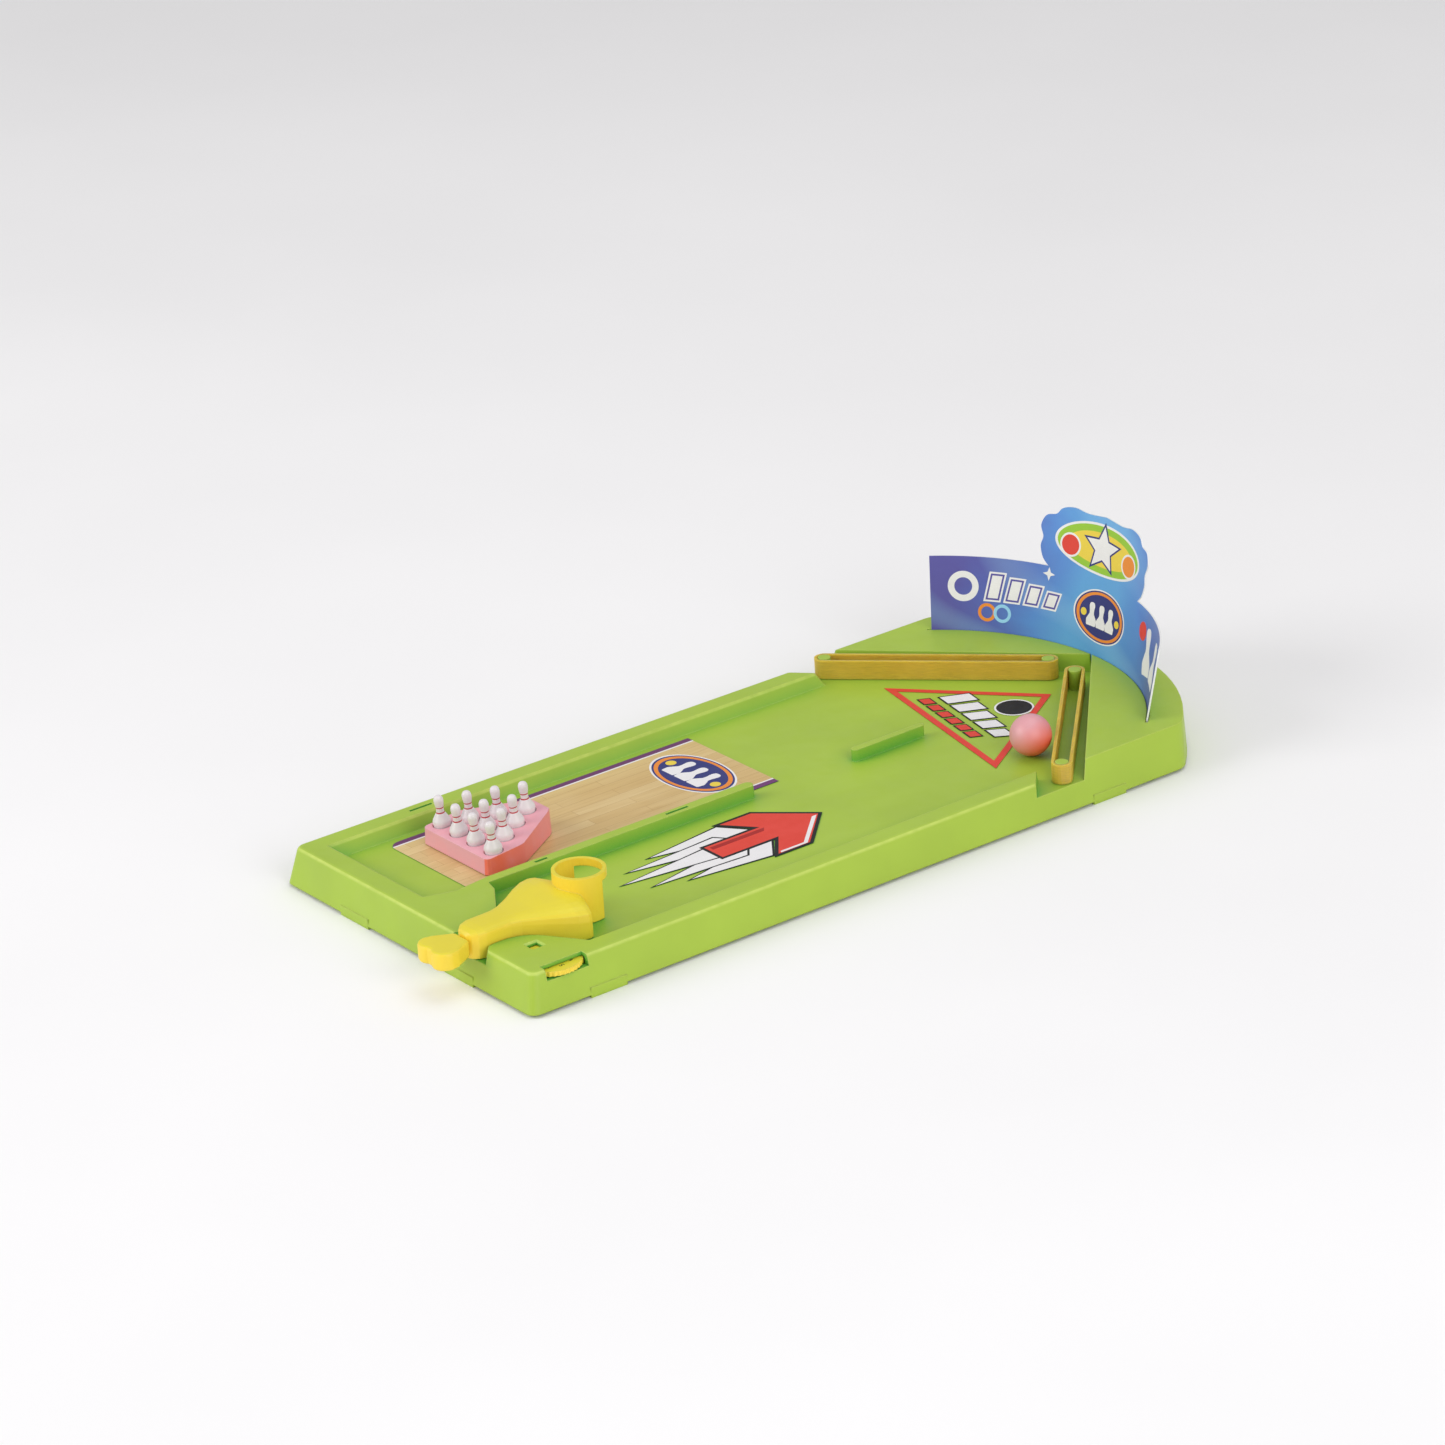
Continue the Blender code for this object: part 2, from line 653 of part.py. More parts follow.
def add_lane_features(body):
    """The rib in the court, the four posts, the accessory slits and the slot for the backdrop card."""
    near = LANE_RIB_WIDTH / 2
    far = LANE_RIB_FAR_WIDTH / 2
    rib_end = RIM_END_PLACE - LANE_RIB_TO_RIM_END
    rib = arc(LANE_RIB_X, rib_end - LANE_RIB_LENGTH + near, near, math.pi, 2 * math.pi, 6)
    rib += arc(LANE_RIB_X, rib_end - far, far, 0, math.pi, 6)
    add(body, prism("lane_rib", rib, FLOOR_HEIGHT - WALL / 2, LANE_RIB_HEIGHT))
    for number, (x, place) in enumerate(post_places()):
        centre = spot(x, place, 0)
        low = FLOOR_HEIGHT - WALL / 2
        add(body, cylinder(f"post_{number}", centre, POST_RADIUS, low, POST_TOP, 20))
    slits = (
        (RIM_SLIT_FROM_SIDE - HALF_TOP, RIM_SLIT_PLACE, RIM_SLIT_LENGTH),
        (DIVIDER_X, DIVIDER_NEAR_SLIT_PLACE, DIVIDER_NEAR_SLIT_LENGTH),
        (DIVIDER_X, DIVIDER_FAR_SLIT_PLACE, DIVIDER_FAR_SLIT_LENGTH),
    )
    for number, (x, place, length) in enumerate(slits):
        half = SLIT_WIDTH / 2
        depth = (RIM_HEIGHT - SLIT_DEPTH, RIM_HEIGHT + OVERRUN)
        cut(body, block(f"slit_cut_{number}", (x - half, x + half), (place, place + length), depth))


def post_places():
    places = []
    for side in (-1, 1):
        places.append((side * OUTER_POST_X, OUTER_POST_PLACE))
        places.append((side * INNER_POST_X, INNER_POST_PLACE))
    return places


def card_band(name, inner, outer, half_angle, low, high):
    """An upright band along the card's arc, between two radii."""
    start = math.pi / 2 - half_angle
    end = math.pi / 2 + half_angle
    outline = arc(0, CARD_CENTRE_PLACE, outer, start, end, 24)
    outline += arc(0, CARD_CENTRE_PLACE, inner, end, start, 24)
    return prism(name, outline, low, high)


def left_block_outline():
    outline = [(BLOCK_NEAR_X, 0)] + channel_side(-1) + left_block_slope()
    return outline + left_block_lane_side()


def right_block_outline():
    """The score block, run on a little way into the right rim."""
    end = BLOCK_SHOULDER_PLACE + OVERRUN
    outline = [(HALF_TOP - WALL_DRAFT, 0), (HALF_TOP, WALL_DRAFT), (HALF_TOP, end), (RIM_INNER_X, end)]
    outline.append((RIM_INNER_X, slope_place(RIM_INNER_X - CHANNEL_X)))
    return outline + channel_side(1)[::-1]


def hollow_underside(body):
    """Cuts the tray to a shell: under the floor, the rims, the two near blocks and the deck."""
    below = -OVERRUN
    ceiling = FLOOR_HEIGHT - WALL
    floor_hollow = loft("floor_hollow", [tray_ring(below, WALL), tray_ring(ceiling, WALL)])
    rib_heights = (UNDER_RIB_FOOT, ceiling + OVERRUN)
    half = UNDER_RIB_THICKNESS / 2
    wide = (-OUTSIDE_X, OUTSIDE_X)
    for number, share in enumerate(UNDER_CROSS_RIB_SHARES):
        place = share * STRAIGHT_LENGTH
        cut(floor_hollow, block(f"cross_rib_keep_{number}", wide, (place - half, place + half), rib_heights))
    far_end = UNDER_CROSS_RIB_SHARES[-1] * STRAIGHT_LENGTH
    for side in (-1, 1):
        x = side * UNDER_LONG_RIB_SHARE * HALF_TOP
        name = "left" if side < 0 else "right"
        length = (UNDER_LONG_RIB_START, far_end)
        cut(floor_hollow, block(f"long_rib_keep_{name}", (x - half, x + half), length, rib_heights))
    cut(body, floor_hollow)

    # The cavities above it start a little lower, and their skins differ by the gap, so no two faces coincide.
    start = ceiling - 2 * GAP
    rim_top = RIM_HEIGHT - WALL
    skin = WALL + GAP
    for side in (-1, 1):
        name = "left" if side < 0 else "right"
        place = NEAR_CORNER_RADIUS if side < 0 else BLOCK_SHOULDER_PLACE
        rings = []
        for height in (start, rim_top - GAP):
            slope = RIM_SLOPE_RUN * (RIM_HEIGHT - height) / (RIM_HEIGHT - FLOOR_HEIGHT)
            inner = (RIM_INNER_X - slope + skin) * side
            outer = (HALF_TOP + draft_at(height) - skin) * side
            end = RIM_END_PLACE - RIM_WIDTH - skin
            rings.append(level([(inner, place), (outer, place), (outer, end), (inner, end)], height))
        cut(body, loft(f"rim_hollow_{name}", rings))
    near_rim = block(
        "near_rim_hollow",
        (-RIM_INNER_X, BLOCK_NEAR_X + 2 * skin),
        (skin + GAP, NEAR_RIM_WIDTH - skin),
        (start, rim_top - GAP),
    )
    left_hollow = prism("left_block_hollow", inset(left_block_outline(), skin), start, rim_top)
    right_hollow = prism("right_block_hollow", inset(right_block_outline(), skin), start, rim_top)
    cut(body, near_rim, left_hollow, right_hollow)
    cut(body, deck_hollow(start, skin))


def deck_hollow(start, skin):
    top = DECK_HEIGHT - WALL
    hollow = loft("deck_hollow", [tray_ring(start, skin), tray_ring(top, skin)])
    apex = DECK_APEX_PLACE + skin / math.cos(DECK_ANGLE)
    wide = OUTSIDE_X + OVERRUN
    side_place = apex - wide * math.tan(DECK_ANGLE)
    front = [(-wide, -wide), (wide, -wide), (wide, side_place), (0, apex), (-wide, side_place)]
    low = start - OVERRUN
    high = top + OVERRUN
    front_keep = prism("deck_front_keep", front, low, high)
    half = CARD_THICKNESS / 2 + GAP + SLOT_RIB_WALL
    spare = CARD_HALF_ANGLE + 3 * SLOT_SPARE_ANGLE
    rib = card_band("slot_rib_keep", CARD_RADIUS - half, CARD_RADIUS + half, spare, SLOT_RIB_BOTTOM, high)
    cut(hollow, front_keep, rib)
    return hollow


def score_dial_parts_of_tray(body):
    """The dial's boss under the score block, its finger slot in the side wall and its window."""
    centre = spot(DIAL_X, DIAL_PLACE, 0)
    ceiling = RIM_HEIGHT - WALL
    room_low = dial_bottom() - 2 * GAP
    round_room = cylinder("dial_room", centre, DIAL_RADIUS + 2 * GAP, room_low, ceiling - GAP, 40)
    reach = DIAL_SLOT_HALF_LENGTH_SHARE * DIAL_RADIUS
    slot = block(
        "dial_slot",
        (HALF_TOP - DIAL_SLOT_DEPTH, OUTSIDE_X),
        (DIAL_PLACE - reach, DIAL_PLACE + reach),
        (room_low, RIM_HEIGHT + OVERRUN),
    )
    cut(body, round_room, slot)
    boss_low = dial_bottom() - DIAL_BOSS_PROUD
    add(body, cylinder("dial_boss", centre, DIAL_BOSS_RADIUS, boss_low, ceiling + WALL / 2))
    cut(body, cylinder("dial_pilot", centre, PILOT_RADIUS, boss_low - OVERRUN, ceiling, 16))
    rings = []
    window_x = DIAL_X - WINDOW_REACH_SHARE * DIAL_RADIUS
    window_place = DIAL_PLACE + WINDOW_PAST_DIAL
    half = WINDOW_SIZE / 2
    steps = (
        (ceiling - OVERRUN / 2, half),
        (RIM_HEIGHT - WINDOW_CHAMFER, half),
        (RIM_HEIGHT, half + WINDOW_CHAMFER),
        (RIM_HEIGHT + OVERRUN, half + WINDOW_CHAMFER),
    )
    for height, reach in steps:
        corners = [(-reach, -reach), (reach, -reach), (reach, reach), (-reach, reach)]
        rings.append(level([(window_x + x, window_place + y) for x, y in corners], height))
    cut(body, loft("dial_window", rings))


def add_feet(body):
    """Short feet along the lower edge of the wall."""
    depth = (-FOOT_HEIGHT, FOOT_DEPTH)
    near_edge = -draft_at(0)
    side_edge = HALF_TOP + draft_at(0)
    far_edge = STRAIGHT_LENGTH + FAR_ARC_RADIUS + draft_at(0) * FAR_DRAFT_SHARE
    inner = WALL - GAP
    outer = GAP / 2
    for side in (-1, 1):
        name = "left" if side < 0 else "right"
        near_x = sorted((side * NEAR_FOOT_START, side * (NEAR_FOOT_START + NEAR_FOOT_LENGTH)))
        add(body, block(f"near_foot_{name}", near_x, (near_edge + outer, near_edge + inner), depth))
        for where, place in (("near", SIDE_FOOT_NEAR_PLACE), ("far", SIDE_FOOT_FAR_PLACE)):
            side_x = sorted((side * (side_edge - inner), side * (side_edge - outer)))
            foot = block(f"side_foot_{name}_{where}", side_x, (place, place + SIDE_FOOT_LENGTH), depth)
            add(body, foot)
    half = FAR_FOOT_LENGTH / 2
    far_place = (far_edge - inner - FAR_FOOT_INSET, far_edge - FAR_FOOT_INSET)
    add(body, block("far_foot", (-half, half), far_place, depth))


def base_tray():
    body = tray_body()
    add_lane_features(body)
    hollow_underside(body)
    half = CARD_THICKNESS / 2 + GAP
    low = DECK_HEIGHT - SLOT_DEPTH
    high = DECK_HEIGHT + OVERRUN
    spare = CARD_HALF_ANGLE + SLOT_SPARE_ANGLE
    cut(body, card_band("card_slot", CARD_RADIUS - half, CARD_RADIUS + half, spare, low, high))
    score_dial_parts_of_tray(body)
    pivot = spot(CHANNEL_X, PIVOT_PLACE, 0)
    cut(body, cylinder("pivot_hole", pivot, PIVOT_RADIUS + GAP, 0, FLOOR_HEIGHT + OVERRUN, 28))
    add_feet(body)


# Screws and washers


def screw(name, centre, head_low, shank_top, finish, radius=SHANK_RADIUS, head=SCREW_HEAD_RADIUS):
    """A pan screw driven upward: its head below, with a driver slot, and its shank above."""
    head_top = head_low + SCREW_HEAD_HEIGHT
    edge = SCREW_HEAD_HEIGHT / 3
    profile = [
        (head - edge, head_low),
        (head, head_low + edge),
        (head, head_top),
        (radius, head_top),
        (radius, shank_top - radius),
        (radius / 2, shank_top),
    ]
    made = turned(name, profile, centre, 20, finish)
    half = SCREW_SLOT_WIDTH / 2
    x = centre.x
    place = centre.y - NEAR_Y
    slot = block(
        f"{name}_slot",
        (x - head * 2, x + head * 2),
        (place - half, place + half),
        (head_low - OVERRUN, head_low + SCREW_SLOT_DEPTH),
    )
    cut(made, slot)
    return made


def washer(name, centre, outer, inner, low, finish):
    made = cylinder(name, centre, outer, low, low + WASHER_THICKNESS, 28, finish=finish)
    hole = cylinder(f"{name}_hole", centre, inner, low - OVERRUN, low + OVERRUN, 20)
    cut(made, hole)
    return made


# Score dial


def dial_bottom():
    return RIM_HEIGHT - WALL - GAP - DIAL_THICKNESS


def score_dial():
    centre = spot(DIAL_X, DIAL_PLACE, 0)
    outline = []
    for index in range(2 * DIAL_KNURLS):
        angle = math.pi * index / DIAL_KNURLS
        radius = DIAL_RADIUS - DIAL_KNURL_DEPTH * (index % 2)
        outline.append((DIAL_X + radius * math.cos(angle), DIAL_PLACE + radius * math.sin(angle)))
    low = dial_bottom()
    dial = prism("score_dial", outline, low, low + DIAL_THICKNESS, YELLOW)
    bore = DIAL_BOSS_RADIUS + GAP
    cut(dial, cylinder("dial_bore", centre, bore, low - OVERRUN, low + DIAL_THICKNESS + OVERRUN, 28))
    seat(dial, spot(DIAL_X, DIAL_PLACE, low))

    washer_low = low - DIAL_BOSS_PROUD - GAP - WASHER_THICKNESS
    washer_outer = DIAL_BOSS_RADIUS * 2
    ring = washer("dial_washer", centre, washer_outer, SHANK_RADIUS + GAP, washer_low, STEEL)
    head_low = washer_low - GAP - SCREW_HEAD_HEIGHT
    shank_top = low + DIAL_THICKNESS - GAP
    holder = screw("dial_screw", centre, head_low, shank_top, STEEL, head=SCREW_HEAD_RADIUS * 1.3)
    for part in (ring, holder):
        seat(part, spot(DIAL_X, DIAL_PLACE, washer_low))


# Launcher


def hollow_start():
    """Where the housing's hollow begins, behind its nose."""
    return HOUSING_NEAR_PLACE + HOLLOW_SECTION_SHARES[0][0] * HOUSING_LENGTH


def housing_station(shares, skin=0.0):
    """Place, half width, shoulder and ridge of one section of the housing, less a skin."""
    place, half, shoulder, ridge = shares
    return (
        HOUSING_NEAR_PLACE + place * HOUSING_LENGTH,
        half * HOUSING_HALF_WIDTH - skin,
        shoulder * HOUSING_SHOULDER - skin,
        ridge * HOUSING_RIDGE - skin,
    )


def housing_section(station, low):
    """An arched section: upright sides to the shoulder, then a flattened arch over the ridge."""
    place, half, shoulder, ridge = station
    side_top = shoulder - (shoulder - low) * HOUSING_ARCH_START_SHARE
    ring = [spot(CHANNEL_X + half, place, low)]
    for index in range(HOUSING_ARCH_POINTS + 1):
        angle = math.pi * index / HOUSING_ARCH_POINTS
        cosine = math.cos(angle)
        across = math.copysign(abs(cosine) ** HOUSING_ARCH_POWER, cosine)
        rise = math.sin(angle) ** HOUSING_ARCH_POWER
        ring.append(spot(CHANNEL_X + half * across, place, side_top + (ridge - side_top) * rise))
    ring.append(spot(CHANNEL_X - half, place, low))
    return ring


def housing_form(name, section_shares, skin, low, finish=None):
    stations = [housing_station(shares, skin) for shares in section_shares]
    return loft(name, [housing_section(station, low) for station in stations], finish)


def housing_boss_places():
    return [(CHANNEL_X + side * HOUSING_BOSS_X, HOUSING_BOSS_PLACE) for side in (-1, 1)]


def launcher_housing(parent):
    housing = housing_form("launcher_housing", HOUSING_SECTION_SHARES, 0, CUP_BOTTOM, YELLOW)
    cup = spot(CHANNEL_X, CUP_PLACE, 0)
    rod = spot(CHANNEL_X, 0, ROD_HEIGHT)
    add(housing, cylinder("cup_wall", cup, CUP_OUTER_RADIUS, CUP_BOTTOM, CUP_TOP, 40))

    below = CUP_BOTTOM - OVERRUN
    hollow = housing_form("housing_hollow", HOLLOW_SECTION_SHARES, HOUSING_WALL, below)
    wall_keep = cylinder("cup_wall_keep", cup, CUP_OUTER_RADIUS + GAP, 0, CUP_TOP + OVERRUN, 40)
    cut(hollow, wall_keep)
    boss_low = PLATE_TOP + GAP
    for number, (x, place) in enumerate(housing_boss_places()):
        centre = spot(x, place, 0)
        cut(hollow, cylinder(f"boss_keep_{number}", centre, HOUSING_BOSS_RADIUS, boss_low, CUP_TOP, 18))
    cut(housing, hollow)
    for number, (x, place) in enumerate(housing_boss_places()):
        centre = spot(x, place, 0)
        top = boss_low + PLATE_SCREW_REACH
        cut(housing, cylinder(f"boss_pilot_{number}", centre, PILOT_RADIUS, boss_low - OVERRUN, top, 14))

    bore_top = CUP_TOP + OVERRUN
    cut(housing, cylinder("cup_bore", cup, CUP_INNER_RADIUS, CUP_BOTTOM - OVERRUN, bore_top, 40))
    reach = CUP_OUTER_RADIUS * 2
    wedge = [(CHANNEL_X, CUP_PLACE)]
    wedge += arc(CHANNEL_X, CUP_PLACE, reach, CUP_OPEN_FROM, CUP_OPEN_TO, 6)
    ring_bottom = CUP_TOP - CUP_RING_HEIGHT
    cut(housing, prism("cup_front_cut", wedge, CUP_BOTTOM - OVERRUN, ring_bottom))

    window = block(
        "striker_window",
        (CHANNEL_X - STRIKER_WINDOW_HALF_WIDTH, CHANNEL_X + STRIKER_WINDOW_HALF_WIDTH),
        (CUP_PLACE - CUP_OUTER_RADIUS - OVERRUN, CUP_PLACE),
        (CUP_BOTTOM - OVERRUN, STRIKER_WINDOW_TOP),
    )
    quarter = Matrix.Rotation(-90 * DEGREE, 4, "X")
    near = HOUSING_NEAR_PLACE
    hole = cylinder("rod_hole", rod, ROD_RADIUS + GAP, near - OVERRUN, hollow_start() + OVERRUN, 20, quarter)
    cut(housing, window, hole)
    seat(housing, parent.matrix_world.translation.copy(), parent)


def base_plate(parent):
    """The plate that closes the housing from below, with the post that the launcher turns on."""
    left = []
    right = []
    for shares in HOLLOW_SECTION_SHARES:
        place, half, _, _ = housing_station(shares, HOUSING_WALL + GAP)
        right.append((CHANNEL_X + half, place))
        left.append((CHANNEL_X - half, place))
    plate = prism("launcher_base_plate", right + left[::-1], PLATE_BOTTOM, PLATE_TOP, YELLOW)
    trim = hollow_start() + GAP
    low = PLATE_BOTTOM - OVERRUN
    high = PLATE_TOP + OVERRUN
    near = HOUSING_NEAR_PLACE - OVERRUN
    wide = (CHANNEL_X - HOUSING_HALF_WIDTH, CHANNEL_X + HOUSING_HALF_WIDTH)
    nose = block("plate_nose_cut", wide, (near, trim), (low, high))
    cup = spot(CHANNEL_X, CUP_PLACE, 0)
    front = cylinder("plate_cup_cut", cup, CUP_OUTER_RADIUS + GAP, low, high, 40)
    cut(plate, nose, front)
    pivot = spot(CHANNEL_X, PIVOT_PLACE, 0)
    middle = PLATE_BOTTOM + PLATE_THICKNESS / 2
    shoulder = cylinder("pivot_shoulder", pivot, PIVOT_SHOULDER_RADIUS, CUP_BOTTOM, middle, 28)
    post = cylinder("pivot_post", pivot, PIVOT_RADIUS, pivot_post_low(), middle - GAP, 28)
    add(plate, shoulder, post)
    cut(plate, cylinder("pivot_pilot", pivot, PILOT_RADIUS, 0, PLATE_BOTTOM, 16))
    for number, (x, place) in enumerate(housing_boss_places()):
        centre = spot(x, place, 0)
        cut(plate, cylinder(f"plate_hole_{number}", centre, SHANK_RADIUS + GAP, low, high, 16))
    seat(plate, parent.matrix_world.translation.copy(), parent)


def pivot_post_low():
    return FLOOR_HEIGHT - WALL - PIVOT_BELOW_FLOOR


def launcher_fasteners(parent):
    head_low = PLATE_BOTTOM - GAP - SCREW_HEAD_HEIGHT + GAP / 2
    shank_top = PLATE_TOP + PLATE_SCREW_REACH
    origin = parent.matrix_world.translation.copy()
    for name, (x, place) in zip(("left", "right"), housing_boss_places()):
        made = screw(f"launcher_screw_{name}", spot(x, place, 0), head_low, shank_top, STEEL)
        seat(made, origin, parent)
    pivot = spot(CHANNEL_X, PIVOT_PLACE, 0)
    washer_low = pivot_post_low() - GAP - WASHER_THICKNESS
    ring = washer("pivot_washer", pivot, PIVOT_WASHER_RADIUS, SHANK_RADIUS + GAP, washer_low, STEEL)
    low = washer_low - GAP - SCREW_HEAD_HEIGHT
    holder = screw("pivot_screw", pivot, low, PLATE_BOTTOM - GAP, STEEL, head=SCREW_HEAD_RADIUS * 1.3)
    for part in (ring, holder):
        seat(part, origin, parent)


def plunger(parent):
    """The rod with its collar, the striker on its front end and the knob on its near end."""
    origin = parent.matrix_world.translation.copy()
    quarter = Matrix.Rotation(-90 * DEGREE, 4, "X")
    line = spot(CHANNEL_X, 0, ROD_HEIGHT)
    rod_start = KNOB_NECK_PLACE - ROD_INTO_KNOB
    striker_back = STRIKER_FACE_PLACE - STRIKER_LENGTH
    rod_end = striker_back + STRIKER_BORE_DEPTH
    profile = [
        (ROD_RADIUS, rod_start),
        (ROD_RADIUS, COLLAR_PLACE),
        (COLLAR_RADIUS, COLLAR_PLACE),
        (COLLAR_RADIUS, COLLAR_PLACE + COLLAR_LENGTH),
        (ROD_RADIUS, COLLAR_PLACE + COLLAR_LENGTH),
        (ROD_RADIUS, rod_end),
    ]
    rod = turned("plunger_rod", profile, line, 20, YELLOW, quarter)
    seat(rod, origin, parent)

    head = block(
        "striker_head",
        (CHANNEL_X - STRIKER_HALF_WIDTH, CHANNEL_X + STRIKER_HALF_WIDTH),
        (striker_back, STRIKER_FACE_PLACE),
        (STRIKER_BOTTOM, STRIKER_TOP),
        YELLOW,
    )
    bevel(head, STRIKER_BEVEL)
    bore_end = rod_end + GAP
    bore = ROD_RADIUS + GAP
    head_bore = cylinder("striker_bore", line, bore, striker_back - OVERRUN, bore_end, 20, quarter)
    cut(head, head_bore)
    seat(head, origin, parent)

    knob = prism("pull_knob", knob_outline(), KNOB_BOTTOM, KNOB_TOP, YELLOW)
    bevel(knob, KNOB_BEVEL)
    bore_start = rod_start - GAP
    knob_bore = cylinder("knob_bore", line, bore, bore_start, KNOB_NECK_PLACE + OVERRUN, 20, quarter)
    centre = spot(CHANNEL_X, KNOB_NECK_PLACE - KNOB_SCREW_FROM_FACE, 0)
    head_top = KNOB_BOTTOM + SCREW_HEAD_HEIGHT + 2 * GAP
    below = KNOB_BOTTOM - OVERRUN
    recess = cylinder("knob_recess", centre, KNOB_SCREW_HEAD_RADIUS + GAP, below, head_top, 20)
    hole = cylinder("knob_screw_hole", centre, KNOB_SCREW_RADIUS + GAP, below, ROD_HEIGHT, 14)
    cut(knob, knob_bore, recess, hole)
    seat(knob, origin, parent)

    tip = ROD_HEIGHT - ROD_RADIUS - GAP
    low = KNOB_BOTTOM + GAP
    lock = screw("knob_screw", centre, low, tip, STEEL, KNOB_SCREW_RADIUS, KNOB_SCREW_HEAD_RADIUS)
    seat(lock, origin, parent)


def knob_outline():
    """A fan shape: a narrow neck at the housing, and two round lobes with a shallow notch between them."""
    right = [(KNOB_NECK_HALF_WIDTH, KNOB_NECK_PLACE)]
    for across, back in KNOB_SIDE_SHARES:
        right.append((across * KNOB_HALF_WIDTH, KNOB_NECK_PLACE - back * KNOB_LENGTH))
    lobe_place = -KNOB_OVERHANG + KNOB_LOBE_RADIUS
    step = KNOB_HALF_WIDTH - KNOB_LOBE_RADIUS
    stop = math.asin(1 - KNOB_NOTCH_DEPTH / KNOB_LOBE_RADIUS)
    lobes = arc(-step, lobe_place, KNOB_LOBE_RADIUS, math.pi, 2 * math.pi - stop, KNOB_LOBE_POINTS)
    lobes += arc(step, lobe_place, KNOB_LOBE_RADIUS, math.pi + stop, 2 * math.pi, KNOB_LOBE_POINTS)
    left = [(-x, place) for x, place in right]
    return [(CHANNEL_X + x, place) for x, place in left + lobes + right[::-1]]


def spring_points():
    """The spring's centre line: a helix round the rod, with an end that runs straight at each side."""
    start = hollow_start() + GAP + SPRING_WIRE_RADIUS
    end = COLLAR_PLACE - GAP - SPRING_WIRE_RADIUS
    count = SPRING_TURNS * SPRING_POINTS_PER_TURN
    line = spot(CHANNEL_X, 0, ROD_HEIGHT)
    points = []
    for index in range(count + 1):
        angle = 2 * math.pi * index / SPRING_POINTS_PER_TURN
        side = Vector((math.cos(angle), 0, math.sin(angle))) * SPRING_RADIUS
        points.append(line + Vector((0, start + (end - start) * index / count, 0)) + side)
    tail = Vector((0, 0, -2 * SPRING_WIRE_RADIUS))
    return [points[0] + tail] + points + [points[-1] - tail]


def print_least_gap(points):
    """Prints how near the spring comes to itself, measured on its points half a turn or more apart."""
    least = min(
        (points[first] - points[second]).length
        for first in range(len(points))
        for second in range(first + SPRING_POINTS_PER_TURN // 2, len(points))
    )
    print("spring: least gap to itself, mm", round((least - 2 * SPRING_WIRE_RADIUS) / MM, 2))


def plunger_spring(parent):
    points = spring_points()
    print_least_gap(points)
    curve = bpy.data.curves.new("plunger_spring", "CURVE")
    curve.dimensions = "3D"
    curve.bevel_depth = SPRING_WIRE_RADIUS
    curve.bevel_resolution = 1
    curve.use_fill_caps = True
    spline = curve.splines.new("POLY")
    spline.points.add(len(points) - 1)
    for target, point in zip(spline.points, points):
        target.co = (*point, 1)
    curve.materials.append(STEEL)
    made = bpy.data.objects.new("plunger_spring", curve)
    bpy.context.scene.collection.objects.link(made)
    seat(made, parent.matrix_world.translation.copy(), parent)


# Bands, card and stickers


def rubber_band(name, side):
    """A flat band round two posts: an outer loop less an inner loop."""
    first = (side * OUTER_POST_X, OUTER_POST_PLACE)
    second = (side * INNER_POST_X, INNER_POST_PLACE)
    low = FLOOR_HEIGHT + GAP
    high = low + BAND_HEIGHT
    inner = POST_RADIUS + GAP
    band = prism(name, loop_outline(first, second, band_reach()), low, high, OCHRE)
    room = prism(f"{name}_room", loop_outline(first, second, inner), low - OVERRUN, high + OVERRUN)
    cut(band, room)


def band_reach():
    """From a post's axis to the band's outer face."""
    return POST_RADIUS + GAP + BAND_THICKNESS


def loop_outline(first, second, radius):
    heading = math.atan2(second[1] - first[1], second[0] - first[0])
    quarter = math.pi / 2
    outline = arc(first[0], first[1], radius, heading + quarter, heading + 3 * quarter, 10)
    return outline + arc(second[0], second[1], radius, heading - quarter, heading + quarter, 10)


def card_rise(angle):
    """Height of the card above the deck at an angle from its middle: a band with a round-topped badge."""
    share = abs(angle) / BADGE_HALF_ANGLE
    if share >= 1:
        return CARD_BAND_HEIGHT
    return CARD_BAND_HEIGHT + BADGE_RISE * (1 - share**4) ** 0.4


def card_angles():
    """Even steps along the arc, with extra ones beside the badge's steep sides."""
    steps = 24
    angles = {round(CARD_HALF_ANGLE * (2 * index / steps - 1), 6) for index in range(steps + 1)}
    for share in (0.5, 0.8, 0.93, 0.985, 1.0):
        angles |= {round(share * BADGE_HALF_ANGLE, 6), round(-share * BADGE_HALF_ANGLE, 6)}
    return sorted(angles)


def backdrop_card():
    """Upright where it stands in the deck's slot, and leaning outward above the deck."""
    foot = DECK_HEIGHT - SLOT_DEPTH + GAP
    bend = DECK_HEIGHT
    half = CARD_THICKNESS / 2
    rings = []
    for angle in card_angles():
        rise = card_rise(angle)
        lean = rise * math.tan(CARD_LEAN)
        ring = []
        for offset, climb in ((half, True), (-half, False)):
            column = [(CARD_RADIUS + offset, foot), (CARD_RADIUS + offset, bend)]
            column.append((CARD_RADIUS + offset + lean, bend + rise))
            ring += column if climb else column[::-1]
        across = math.sin(angle)
        ahead = math.cos(angle)
        rings.append([spot(radius * across, CARD_CENTRE_PLACE + radius * ahead, z) for radius, z in ring])
    card = loft("backdrop_card", rings, BLUE)
    seat(card, spot(0, CARD_CENTRE_PLACE + CARD_RADIUS, foot))


def sticker(name, outline, finish):
    low = FLOOR_HEIGHT + STICKER_GAP
    prism(name, outline, low, low + STICKER_THICKNESS, finish)


